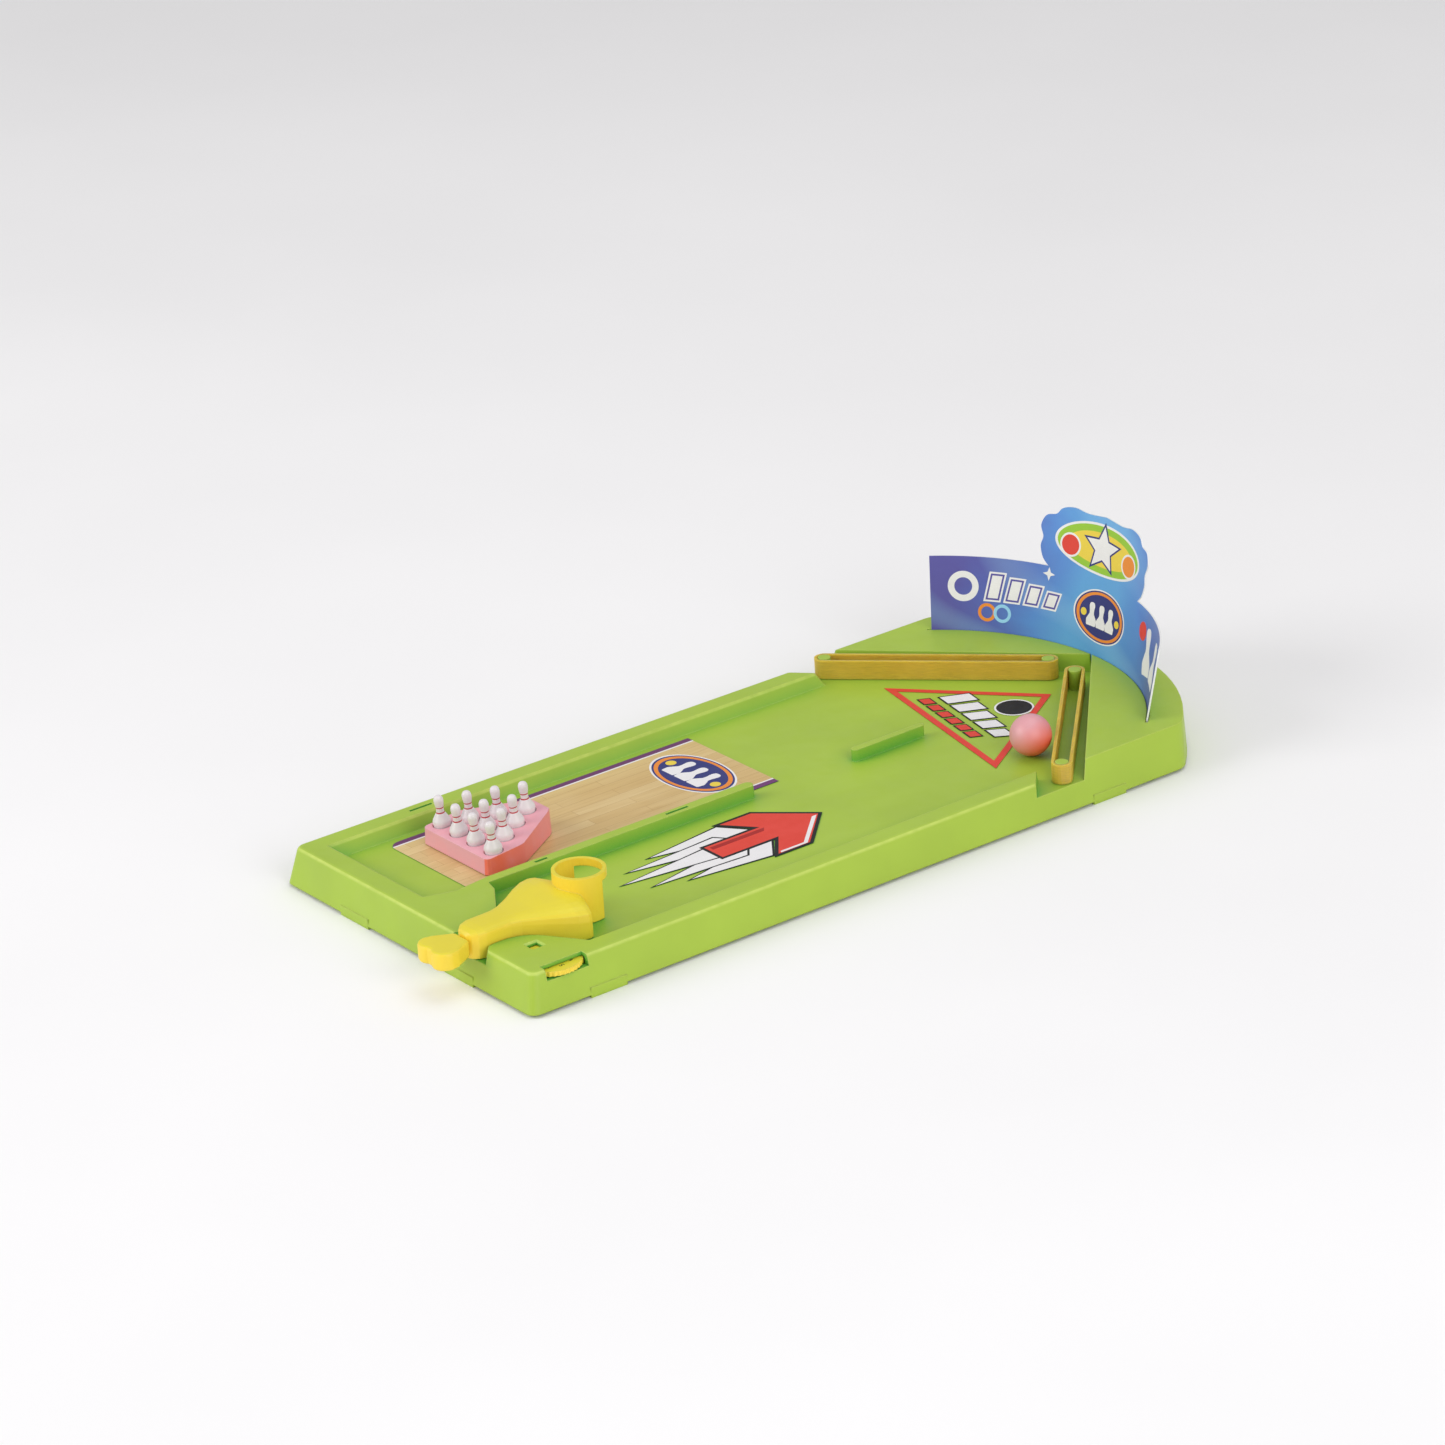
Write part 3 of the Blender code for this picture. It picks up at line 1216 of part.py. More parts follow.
def stickers():
    left = LANE_STICKER_LEFT
    right = LANE_STICKER_RIGHT
    start = LANE_STICKER_START
    end = start + LANE_STICKER_LENGTH
    corner = LANE_STICKER_CORNER
    lane = arc(left + corner, start + corner, corner, math.pi, 1.5 * math.pi, 5)
    lane += arc(right - corner, start + corner, corner, 1.5 * math.pi, 2 * math.pi, 5)
    lane += [(right, end), (left, end)]
    sticker("lane_sticker", lane, WOOD)

    right_side = [(ARROW_X + x * ARROW_HALF_WIDTH, ARROW_START + y * ARROW_LENGTH) for x, y in ARROW_SHARES]
    left_side = [(2 * ARROW_X - x, place) for x, place in right_side[:-1]]
    sticker("arrow_sticker", right_side + left_side[::-1], RED)
    target = [(x * HALF_TOP, STRAIGHT_LENGTH + y * FAR_ARC_RADIUS) for x, y in TARGET_SHARES]
    sticker("target_sticker", target, RED)


# Rack, pins and ball


def rack_outline():
    half = RACK_HALF_WIDTH
    cut_off = RACK_CORNER_CUT
    near = RACK_NEAR_PLACE
    side_end = near + RACK_SIDE_LENGTH
    far = near + RACK_LENGTH
    right = [
        (half - cut_off, near),
        (half - cut_off / 3, near + cut_off / 3),
        (half, near + cut_off),
        (half, side_end - cut_off / 2),
        (half - cut_off / 4, side_end + cut_off / 2),
        (RACK_FAR_HALF_WIDTH + cut_off / 2, far - cut_off),
        (RACK_FAR_HALF_WIDTH - cut_off / 2, far),
    ]
    left = [(-x, place) for x, place in right[::-1]]
    return [(RACK_X + x, place) for x, place in right + left]


def rack_bottom():
    return STICKER_TOP + GAP


def rack_top(place):
    """Height of the rack's sloping top."""
    return rack_bottom() + RACK_NEAR_HEIGHT + (place - RACK_NEAR_PLACE) * math.tan(RACK_SLOPE)


def rack_turn():
    """Turns a thing that stands up so that it stands square on the sloping top."""
    return Matrix.Rotation(RACK_SLOPE, 4, "X")


def pin_places():
    """The middle of each pin, row by row from the widest row."""
    places = []
    for row in range(PIN_ROWS):
        count = PIN_ROWS - row
        for index in range(count):
            x = RACK_X + (index - (count - 1) / 2) * PIN_SPACING
            places.append((x, FIRST_ROW_PLACE + row * PIN_ROW_SPACING))
    return places


def pin_rack():
    bottom = rack_bottom()
    outline = rack_outline()
    top = [spot(x, place, rack_top(place)) for x, place in inset(outline, RACK_TOP_INSET)]
    rack = loft("pin_rack", [level(outline, bottom), top], PINK)
    inner = inset(outline, RACK_WALL)
    ceiling = [spot(x, place, rack_top(place) - RACK_TOP_PLATE) for x, place in inner]
    cut(rack, loft("rack_hollow", [level(inner, bottom - OVERRUN), ceiling]))
    for number, (x, place) in enumerate(pin_places()):
        centre = spot(x, place, rack_top(place))
        socket = cylinder(f"socket_{number}", centre, SOCKET_RADIUS, -SOCKET_DEPTH, OVERRUN, 20, rack_turn())
        cut(rack, socket)
    seat(rack, spot(RACK_X, RACK_NEAR_PLACE, bottom))


def pins():
    """Ten pins that share one mesh, each with its origin at the middle of its foot."""
    profile = [(radius * PIN_BELLY_RADIUS, height * PIN_HEIGHT) for radius, height in PIN_SHARES]
    profile.append((PIN_BELLY_RADIUS / 10, PIN_HEIGHT))
    foot = rack_turn() @ Vector((0, 0, GAP - SOCKET_DEPTH))
    first = None
    for number, (x, place) in enumerate(pin_places(), start=1):
        name = f"pin_{number:02d}"
        if first is None:
            pin = first = turned(name, profile, Vector((0, 0, 0)), PIN_SEGMENTS, WHITE, rack_turn())
        else:
            pin = bpy.data.objects.new(name, first.data)
            bpy.context.scene.collection.objects.link(pin)
        pin.location = spot(x, place, rack_top(place)) + foot


def ball_place(x):
    """Where the ball lies in front of the right band."""
    slope = (INNER_POST_PLACE - OUTER_POST_PLACE) / (OUTER_POST_X - INNER_POST_X)
    band_place = OUTER_POST_PLACE + (OUTER_POST_X - x) * slope
    return band_place - (BALL_RADIUS + BALL_FROM_BAND + band_reach()) * math.hypot(1, slope)


def ball():
    form = bmesh.new()
    bmesh.ops.create_uvsphere(form, u_segments=BALL_SEGMENTS, v_segments=BALL_RINGS, radius=BALL_RADIUS)
    mesh = bpy.data.meshes.new("ball")
    form.to_mesh(mesh)
    form.free()
    mesh.shade_smooth()
    mesh.materials.append(CORAL)
    made = bpy.data.objects.new("ball", mesh)
    bpy.context.scene.collection.objects.link(made)
    x = CHANNEL_X + BALL_RIGHT_OF_CHANNEL
    made.location = spot(x, ball_place(x), FLOOR_HEIGHT + GAP + BALL_RADIUS)


for old in list(bpy.data.objects):
    bpy.data.objects.remove(old)

GREEN = material("green_plastic", (0.46, 0.68, 0.06), 0.42)
YELLOW = material("yellow_plastic", (0.86, 0.78, 0.05), 0.4)
OCHRE = material("ochre_rubber", (0.55, 0.38, 0.05), 0.55)
PINK = material("pink_plastic", (0.85, 0.38, 0.42), 0.42)
CORAL = material("coral_plastic", (0.85, 0.3, 0.28), 0.4)
WHITE = material("white_plastic", (0.8, 0.77, 0.78), 0.35)
BLUE = material("printed_card", (0.1, 0.2, 0.65), 0.45)
WOOD = material("wood_print", (0.78, 0.58, 0.28), 0.5)
RED = material("red_print", (0.75, 0.08, 0.05), 0.45)
STEEL = material("steel", (0.6, 0.6, 0.62), 0.35, 1.0)

launcher_axis = axis_empty("launcher_axis", spot(CHANNEL_X, PIVOT_PLACE, FLOOR_HEIGHT))
plunger_axis = axis_empty("plunger_axis", spot(CHANNEL_X, KNOB_NECK_PLACE, ROD_HEIGHT), launcher_axis)

base_tray()
score_dial()
launcher_housing(launcher_axis)
base_plate(launcher_axis)
launcher_fasteners(launcher_axis)
plunger(plunger_axis)
plunger_spring(launcher_axis)
rubber_band("rubber_band_left", -1)
rubber_band("rubber_band_right", 1)
backdrop_card()
stickers()
pin_rack()
pins()
ball()
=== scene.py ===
"""The looks of the tabletop bowling game: its materials, its printed pieces and its finer shapes.

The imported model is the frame. All sizes are in metres, with +Z up and the lanes along +Y.
"""

import math

import bmesh
import bpy
from mathutils import Matrix, Vector


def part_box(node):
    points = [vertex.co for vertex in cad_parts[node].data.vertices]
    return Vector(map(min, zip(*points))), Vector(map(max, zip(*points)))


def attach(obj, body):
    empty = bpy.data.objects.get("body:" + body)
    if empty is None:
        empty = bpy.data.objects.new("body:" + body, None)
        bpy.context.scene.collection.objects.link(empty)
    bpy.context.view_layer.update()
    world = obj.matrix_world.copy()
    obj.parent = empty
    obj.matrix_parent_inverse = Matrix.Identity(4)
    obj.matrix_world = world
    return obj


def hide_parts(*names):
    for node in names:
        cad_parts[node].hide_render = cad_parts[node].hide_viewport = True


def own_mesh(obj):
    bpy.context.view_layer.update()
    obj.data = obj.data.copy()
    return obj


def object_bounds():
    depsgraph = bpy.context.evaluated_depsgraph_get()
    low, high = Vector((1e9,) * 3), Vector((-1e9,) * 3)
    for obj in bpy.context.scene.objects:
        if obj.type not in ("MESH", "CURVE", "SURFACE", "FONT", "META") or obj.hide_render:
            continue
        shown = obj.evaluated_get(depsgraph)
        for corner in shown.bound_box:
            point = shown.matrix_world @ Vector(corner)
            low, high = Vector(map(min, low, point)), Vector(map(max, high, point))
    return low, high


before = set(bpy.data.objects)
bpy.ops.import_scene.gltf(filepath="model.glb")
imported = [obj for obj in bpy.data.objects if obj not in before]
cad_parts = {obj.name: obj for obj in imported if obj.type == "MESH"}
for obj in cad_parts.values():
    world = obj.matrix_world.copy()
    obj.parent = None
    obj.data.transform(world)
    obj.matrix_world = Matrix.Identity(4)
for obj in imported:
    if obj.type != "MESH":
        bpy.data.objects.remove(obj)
cad_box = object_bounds()

MM = 0.001
DEGREE = math.pi / 180
# Two points nearer than this are the same.
SAME_PLACE = 1e-7

# Camera, set as the photograph was taken
EYE = Vector((1.90629, -1.41326, 1.07095))
AIM = Vector((-0.10217, 0.05425, 0.0015))
CAMERA_UP = Vector((-0.28210631, 0.28213603, 0.91695981))
SENSOR_WIDTH_MM = 36
LENS_MM = 136.72
CLIP_END = 50

# Stage
FLOOR_RADIUS = 9
FLOOR_SIDES = 96
SKY_STRENGTH = 0.5
# Each lamp's name, place, width and power. All of them point at the origin.
LAMPS = (
    ("key_lamp", (-0.9, -2.0, 1.2), 1.6, 26),
    ("fill_lamp", (2.3, -0.2, 1.1), 1.8, 24),
    ("top_lamp", (0, 0.5, 2.4), 1.8, 10),
)

# Backdrop card, with the same sizes as in the model
CARD_RADIUS = 109.5 * MM
CARD_THICKNESS = 0.8 * MM
CARD_HALF_ANGLE = 47.7 * DEGREE
CARD_LEAN = 10.5 * DEGREE
CARD_BAND_HEIGHT = 37 * MM
BADGE_HALF_ANGLE = 19.3 * DEGREE
BADGE_RISE = 31.5 * MM
SLOT_ROOM = 7 * MM
# Half width and rise, as shares of the badge's half width and of its rise above the banner.
BADGE_SHARES = (
    (0.86, 0.00),
    (0.95, 0.12),
    (0.99, 0.30),
    (0.96, 0.45),
    (1.00, 0.62),
    (0.93, 0.79),
    (0.79, 0.84),
    (0.70, 0.95),
    (0.52, 1.00),
    (0.30, 0.965),
    (0.00, 1.00),
)

# Banner and badge designs. Across is measured from the card's middle and height from its bend.
BANNER_LEFT = -75 * MM
BANNER_RING_HEIGHT = 22 * MM
BANNER_RING_RADII = (7.6 * MM, 4.4 * MM)
BANNER_BAR_COUNT = 4
BANNER_BAR_FROM_RING = 10 * MM
BANNER_BAR_STEP = 10.2 * MM
BANNER_BAR_WIDTH = 8.8 * MM
BANNER_BAR_FOOT = 15 * MM
BANNER_BAR_TOP = 30 * MM
BANNER_BAR_DROP = 1.8 * MM
BANNER_BAR_SLANT = 3 * MM
BANNER_BAR_LINE = 0.9 * MM
# Distance from the ring, and colour.
BANNER_LINKS = ((12 * MM, "orange"), (20 * MM, "sky"))
BANNER_LINK_HEIGHT = 9.5 * MM
BANNER_LINK_RADII = (4.6 * MM, 3.0 * MM)
BANNER_SPARK_PLACE = (-31 * MM, 33 * MM)
BANNER_SPARK_RADII = (3.4 * MM, 1.3 * MM)
BANNER_EMBLEM_PLACE = (4 * MM, 19.5 * MM)
BANNER_EMBLEM_HALF = 19 * MM
BANNER_EMBLEM_SQUASH = 0.70
# Place across, and lean.
BANNER_PINS = ((56 * MM, 0.2), (69 * MM, -0.1))
BANNER_PIN_FOOT = 8 * MM
BANNER_PIN_HEIGHT = 23 * MM
BANNER_BALL_PLACE = (43 * MM, 26 * MM)
BANNER_BALL_RADIUS = 4.6 * MM
BADGE_MIDDLE = CARD_BAND_HEIGHT + 15 * MM
# Name, half width, height as a share of the width, and colour.
BADGE_OVALS = (
    ("rim", 29 * MM, 0.44, "white"),
    ("green", 27.6 * MM, 0.42, "green"),
    ("field", 22.0 * MM, 0.38, "yellow"),
)
BADGE_STAR_HEIGHT = BADGE_MIDDLE + 0.5 * MM
BADGE_STAR_RADII = (11.2 * MM, 5.2 * MM)
BADGE_STAR_RIM_RADII = (13.4 * MM, 6.2 * MM)
BADGE_BALL_ACROSS = 20 * MM
BADGE_BALL_HEIGHT = BADGE_MIDDLE - 2 * MM
BADGE_BALL_RADIUS = 5.0 * MM
BADGE_BALL_RIM_RADIUS = 6.0 * MM

# Emblem, as shares of its half width
EMBLEM_FIELD = 0.95
EMBLEM_RING = (0.90, 0.80)
EMBLEM_PIN_STEP = 0.36
EMBLEM_PIN_DROP = 0.31
EMBLEM_PIN_HEIGHT = 0.62
EMBLEM_BALL_ACROSS = 0.65
EMBLEM_BALL_RADIUS = 0.10

# Printed pieces
INK_THICKNESS = 0.03 * MM
INK_MOTTLE = 0.06
# A flat print leaves room for this many layers of ink on top.
INK_LAYERS = 3
PLANK_LENGTH = 78 * MM
PLANK_WIDTH = 6.6 * MM
LANE_BORDER = 3.6 * MM
LANE_LINE = 1.1 * MM
LANE_CORNER_RADIUS = 6 * MM
LANE_EMBLEM_HALF = 27 * MM
LANE_EMBLEM_FROM_END = 24 * MM
LANE_EMBLEM_SQUASH = 0.62
# The cosine at which a shrunk outline's corner stops reaching further inward.
SHARPEST_CORNER = 0.35

# Arrow. Across as a share of its half width, and along as a share of its length.
ARROW_RIGHT_SHARES = ((0.36, 0.44), (0.36, 0.70), (0.98, 0.60), (0.98, 0.79))
ARROW_TIP_SHARE = 0.995
SPIKE_SHARES = (
    ((-0.92, 0.61), (-0.66, 0.22), (-0.32, 0.52), (-0.32, 0.70)),
    ((0.32, 0.70), (0.32, 0.52), (0.66, 0.22), (0.92, 0.61)),
    ((-0.58, 0.54), (-0.42, 0.08), (-0.06, 0.44), (-0.20, 0.60)),
    ((0.20, 0.60), (0.06, 0.44), (0.42, 0.08), (0.58, 0.54)),
    ((-0.32, 0.50), (-0.03, 0.0), (0.32, 0.50)),
)
GLEAM_SHARES = ((0.84, 0.65), (0.90, 0.645), (0.90, 0.775), (0.02, 0.963), (0.02, 0.940), (0.84, 0.765))
DART_SHARES = ((-0.22, 0.47), (-0.10, 0.47), (-0.10, 0.72), (-0.22, 0.74))
SPIKE_LINE = 1.1 * MM
ARROW_LINE = 1.7 * MM

# Target. Its left corner's place along the lane and its far corner's place across are shares.
TARGET_LEFT_SHARE = 0.307
TARGET_FAR_SHARE = 0.565
TARGET_MARGIN = 0.3 * MM
TARGET_FRAME_WIDTH = 3.5 * MM
# Each row of bars: colour, count, first place, step, width, foot, first top, drop, slant and edge.
# The places are millimetres along the frame's near side from its left corner, and into it.
TARGET_BARS = (
    ("white", 5, 25, 12, 10.6, 17, 33, 1.5, 4, 0.8),
    ("red", 6, 22, 9.5, 8.0, 7, 13.5, 0, 2, 0.7),
)
TARGET_DISC_PLACE = (57, 42.5)
TARGET_DISC_RADIUS = 9.8 * MM
TARGET_DISC_LINE = 1.0 * MM

# Score dial and spring
DIAL_NUMBERS = 10
NUMBER_SIZE = 3.6 * MM
NUMBER_REACH_SHARE = 0.67
WINDOW_BEYOND_CENTRE = 0.4 * MM
SPRING_WIRE = 0.3 * MM
SPRING_TURNS = 14

# Tray plastic. Between each pair of places a painted tint comes in or fades out: the painted corner shade
# above the floor and before the bands, and the painted rim highlight near the rim tops.
ABOVE_FLOOR = (12.6 * MM, 13.2 * MM)
BEFORE_BANDS = (92 * MM, 108 * MM)
NEAR_RIM_TOP = (18.3 * MM, 18.9 * MM)
# Walls nearer than this darken a corner with painted shade.
CORNER_SHADE_REACH = 14 * MM

# Rounded edges of the CAD nodes
JOINED_CORNER_REACH = 0.01 * MM
ROUNDED_FROM_ANGLE = 38 * DEGREE

# Ball
# The ball's coral painted shade deepens along this direction.
BALL_SHADE_DIRECTION = (0.62, 0.30, -0.72)
# The smooth ball stays a little inside the ball of the model.
BALL_SHARE = 0.998

# Pins
PIN_HEIGHT = 17.2 * MM
PIN_BELLY_RADIUS = 4.4 * MM
PIN_SLOPE = 5 * DEGREE
PIN_SIDES = 32
# A printed pin is this much wider than a real one of its height.
PRINTED_PIN_WIDENING = 1.15
# Radius and height, as shares of the belly radius and of the pin's height.
PIN_SHARES = (
    (0.84, 0.000),
    (0.93, 0.050),
    (0.97, 0.152),
    (1.00, 0.213),
    (0.95, 0.275),
    (0.82, 0.337),
    (0.61, 0.434),
    (0.44, 0.514),
    (0.43, 0.638),
    (0.50, 0.753),
    (0.53, 0.867),
    (0.43, 0.950),
    (0.26, 0.988),
    (0.00, 1.000),
)
PIN_STRIPE_SHARES = ((0.487, 0.521), (0.635, 0.669))


def linear(red, green, blue):
    """A colour as it looks on a screen, turned into the linear values that shaders take."""
    return tuple(v / 12.92 if v <= 0.04045 else ((v + 0.055) / 1.055) ** 2.4 for v in (red, green, blue))


def scaled(colour, share):
    return tuple(min(1, value * share) for value in colour)


# Materials


class Shader:
    """A material's nodes, with short calls that add and join them."""

    def __init__(self, name, roughness, metallic=0.0):
        self.material = bpy.data.materials.new(name)
        self.material.use_nodes = True
        self.tree = self.material.node_tree
        self.surface = self.tree.nodes["Principled BSDF"]
        self.surface.inputs["Roughness"].default_value = roughness
        self.surface.inputs["Metallic"].default_value = metallic
        self.place = self.node("TexCoord").outputs["Object"]

    def node(self, kind, **settings):
        made = self.tree.nodes.new("ShaderNode" + kind)
        for setting, value in settings.items():
            setattr(made, setting, value)
        return made

    def put(self, target, value):
        """Joins an output to an input, or sets the input to a plain value."""
        if isinstance(value, bpy.types.NodeSocket):
            self.tree.links.new(value, target)
        elif isinstance(value, tuple) and target.type == "RGBA" and len(value) == 3:
            target.default_value = (*value, 1)
        else:
            target.default_value = value

    def math(self, operation, first, second=0.0):
        made = self.node("Math", operation=operation)
        self.put(made.inputs[0], first)
        self.put(made.inputs[1], second)
        return made.outputs[0]

    def part(self, axis, place=None):
        made = self.node("SeparateXYZ")
        self.put(made.inputs[0], place or self.place)
        return made.outputs[axis]

    def stretched(self, scale, turn=(0.0, 0.0, 0.0)):
        made = self.node("Mapping")
        self.put(made.inputs["Vector"], self.place)
        made.inputs["Scale"].default_value = scale
        made.inputs["Rotation"].default_value = turn
        return made.outputs[0]

    def noise(self, scale, detail=2.0, place=None, roughness=0.5, distortion=0.0):
        made = self.node("TexNoise")
        self.put(made.inputs["Vector"], place or self.place)
        made.inputs["Scale"].default_value = scale
        made.inputs["Detail"].default_value = detail
        made.inputs["Roughness"].default_value = roughness
        made.inputs["Distortion"].default_value = distortion
        return made.outputs["Fac"]

    def spread(self, value, low, high, start=0.0, end=1.0):
        """Maps the values from low to high onto start to end."""
        made = self.node("MapRange")
        self.put(made.inputs["Value"], value)
        for name, number in (("From Min", low), ("From Max", high), ("To Min", start), ("To Max", end)):
            made.inputs[name].default_value = number
        return made.outputs[0]

    def mix(self, share, first, second):
        made = self.node("Mix", data_type="RGBA")
        self.put(made.inputs[0], share)
        self.put(made.inputs[6], first)
        self.put(made.inputs[7], second)
        return made.outputs[2]

    def ramp(self, value, stops):
        made = self.node("ValToRGB")
        self.put(made.inputs[0], value)
        points = made.color_ramp.elements
        while len(points) < len(stops):
            points.new(0.5)
        for point, (position, colour) in zip(points, stops):
            point.position = position
            point.color = (*colour, 1)
        return made.outputs[0]

    def edges(self, radius, reach):
        """Nearly 1 along convex and hollow edges and 0 on open faces, and the rounded normal."""
        round_normal = self.node("Bevel", samples=6)
        round_normal.inputs["Radius"].default_value = radius
        flat_normal = self.node("NewGeometry").outputs["Normal"]
        turn = self.node("VectorMath", operation="DOT_PRODUCT")
        self.put(turn.inputs[0], round_normal.outputs[0])
        self.put(turn.inputs[1], flat_normal)
        return self.spread(turn.outputs["Value"], 1.0, 1.0 - reach), round_normal.outputs[0]

    def hollows(self, reach):
        """Near 1 deep in corners and beside walls, and 0 on open faces."""
        made = self.node("AmbientOcclusion", samples=6)
        made.inputs["Distance"].default_value = reach
        return self.math("SUBTRACT", 1.0, made.outputs["AO"])

    def bump(self, heights, distance, normal=None):
        made = self.node("Bump")
        made.inputs["Distance"].default_value = distance
        self.put(made.inputs["Height"], heights)
        if normal:
            self.put(made.inputs["Normal"], normal)
        self.put(self.surface.inputs["Normal"], made.outputs[0])

    def colour(self, value):
        self.put(self.surface.inputs["Base Color"], value)

    def roughness(self, value):
        self.put(self.surface.inputs["Roughness"], value)


def moulded(
    name,
    colour,
    edge_colour,
    roughness,
    wear_and_highlight=0.5,
    mottle=0.05,
    edge_radius=0.7 * MM,
    corner_shade=None,
    side=None,
):
    """Moulded plastic: faint flow marks, a fine grain and paler edges, partly wear and partly painted
    highlight.

    Where a side colour is given, upright faces take it as painted shade. Where a corner shade colour is
    given, deep corners and wall feet take it as painted shade, and the tray's rounded rims get a paler
    painted highlight too.
    """
    shader = Shader(name, roughness)
    broad = shader.noise(24, 3)
    streaks = shader.noise(60, 2, shader.stretched((1.0, 0.12, 1.0)))
    fine = shader.noise(1400, 2)
    base = shader.mix(shader.spread(broad, 0.3, 0.7), scaled(colour, 1 - mottle), scaled(colour, 1 + mottle))
    base = shader.mix(shader.spread(streaks, 0.45, 0.75, 0, mottle * 3), base, scaled(colour, 1 - mottle * 2))
    # Painted shade: upright faces take the side colour.
    if side:
        upward = shader.part(2, shader.node("NewGeometry").outputs["Normal"])
        base = shader.mix(shader.spread(upward, 0.25, 0.8), side, base)
    # Painted shade: deep corners and the feet of walls take the darker green, weaker beyond the bands.
    if corner_shade:
        above_floor = shader.spread(shader.part(2), *ABOVE_FLOOR)
        before_bands = shader.spread(shader.part(1), *BEFORE_BANDS, 1.0, 0.25)
        depth = shader.spread(shader.hollows(CORNER_SHADE_REACH), 0.07, 0.5)
        share = shader.math("MULTIPLY", depth, above_floor)
        base = shader.mix(shader.math("MULTIPLY", share, before_bands), base, corner_shade)
    # Paler edges: partly wear and partly painted highlight, where rounded edges would catch the light.
    edge, normal = shader.edges(edge_radius, 0.25)
    # Painted highlight on the tray's rounded rim tops, kept out of the deep corners.
    if corner_shade:
        upward = shader.part(2, shader.node("NewGeometry").outputs["Normal"])
        rounded = shader.math("MULTIPLY", shader.spread(upward, 0.3, 0.5), shader.spread(upward, 0.98, 0.9))
        rim_height = shader.spread(shader.part(2), *NEAR_RIM_TOP, 0.0, 0.7)
        rim_highlight = shader.math("MULTIPLY", rounded, rim_height)
        outward = shader.spread(depth, 0.45, 0.75, 1.0, 0.0)
        edge = shader.math("MULTIPLY", shader.math("MAXIMUM", edge, rim_highlight), outward)
    patchy = shader.math("MULTIPLY", edge, shader.spread(shader.noise(160, 3), 0.3, 0.65, 0.55, 1))
    base = shader.mix(shader.math("MULTIPLY", patchy, wear_and_highlight), base, edge_colour)
    shader.colour(base)
    rough = shader.spread(shader.noise(85, 4), 0.3, 0.7, roughness - 0.07, roughness + 0.08)
    shader.roughness(shader.math("ADD", rough, shader.math("MULTIPLY", patchy, 0.12)))
    heights = shader.math("ADD", shader.math("MULTIPLY", fine, 0.5), broad)
    shader.bump(heights, 0.05 * MM, normal)
    shader.surface.inputs["Specular IOR Level"].default_value = 0.45
    return shader.material


def rubber(name, colour):
    """Stretched rubber: fine lengthwise lines, some of them darker, a dull skin and paler edges as painted
    highlight.
    """
    shader = Shader(name, 0.5)
    lines = shader.noise(9, 4, shader.stretched((18.0, 18.0, 240.0)), 0.7)
    cloud = shader.noise(70, 3)
    base = shader.mix(shader.spread(lines, 0.35, 0.7), scaled(colour, 0.86), scaled(colour, 1.12))
    base = shader.mix(shader.spread(cloud, 0.4, 0.8, 0, 0.4), base, scaled(colour, 1.25))
    edge, normal = shader.edges(0.35 * MM, 0.25)
    # Paler edges are painted highlight.
    shader.colour(shader.mix(shader.math("MULTIPLY", edge, 0.45), base, scaled(colour, 1.5)))
    shader.roughness(shader.spread(cloud, 0.3, 0.7, 0.42, 0.58))
    grain = shader.math("MULTIPLY", shader.noise(2500, 2), 0.4)
    shader.bump(shader.math("ADD", lines, grain), 0.06 * MM, normal)
    shader.surface.inputs["Subsurface Weight"].default_value = 0.85
    shader.surface.inputs["Subsurface Radius"].default_value = (1.0, 0.85, 0.45)
    shader.surface.inputs["Subsurface Scale"].default_value = 4 * MM
    return shader.material


def steel(name):
    """Bright turned steel with fine scratches round it."""
    shader = Shader(name, 0.3, 1.0)
    lines = shader.noise(700, 3, shader.stretched((1.0, 1.0, 6.0)), 0.6)
    pale = linear(0.80, 0.80, 0.82)
    shader.colour(shader.mix(shader.spread(lines, 0.3, 0.7), scaled(pale, 0.82), pale))
    shader.roughness(shader.spread(lines, 0.3, 0.7, 0.2, 0.42))
    shader.bump(lines, 0.01 * MM)
    return shader.material


def ink(name, colour, roughness=0.5):
    """A flat printed colour: a faint dot grain and a lacquer sheen that varies a little."""
    shader = Shader(name, roughness)
    dots = shader.node("TexVoronoi")
    shader.put(dots.inputs["Vector"], shader.place)
    dots.inputs["Scale"].default_value = 3200
    grain = shader.spread(dots.outputs["Distance"], 0.0, 0.7)
    cloud = shader.noise(120, 3)
    base = shader.mix(grain, scaled(colour, 1 - INK_MOTTLE), scaled(colour, 1 + INK_MOTTLE))
    worn = scaled(colour, 1 - 2 * INK_MOTTLE)
    shader.colour(shader.mix(shader.spread(cloud, 0.35, 0.75, 0, 0.3), base, worn))
    shader.roughness(shader.spread(cloud, 0.3, 0.7, roughness - 0.06, roughness + 0.06))
    shader.bump(shader.noise(1800, 2), 0.01 * MM)
    shader.surface.inputs["Specular IOR Level"].default_value = 0.3
    return shader.material


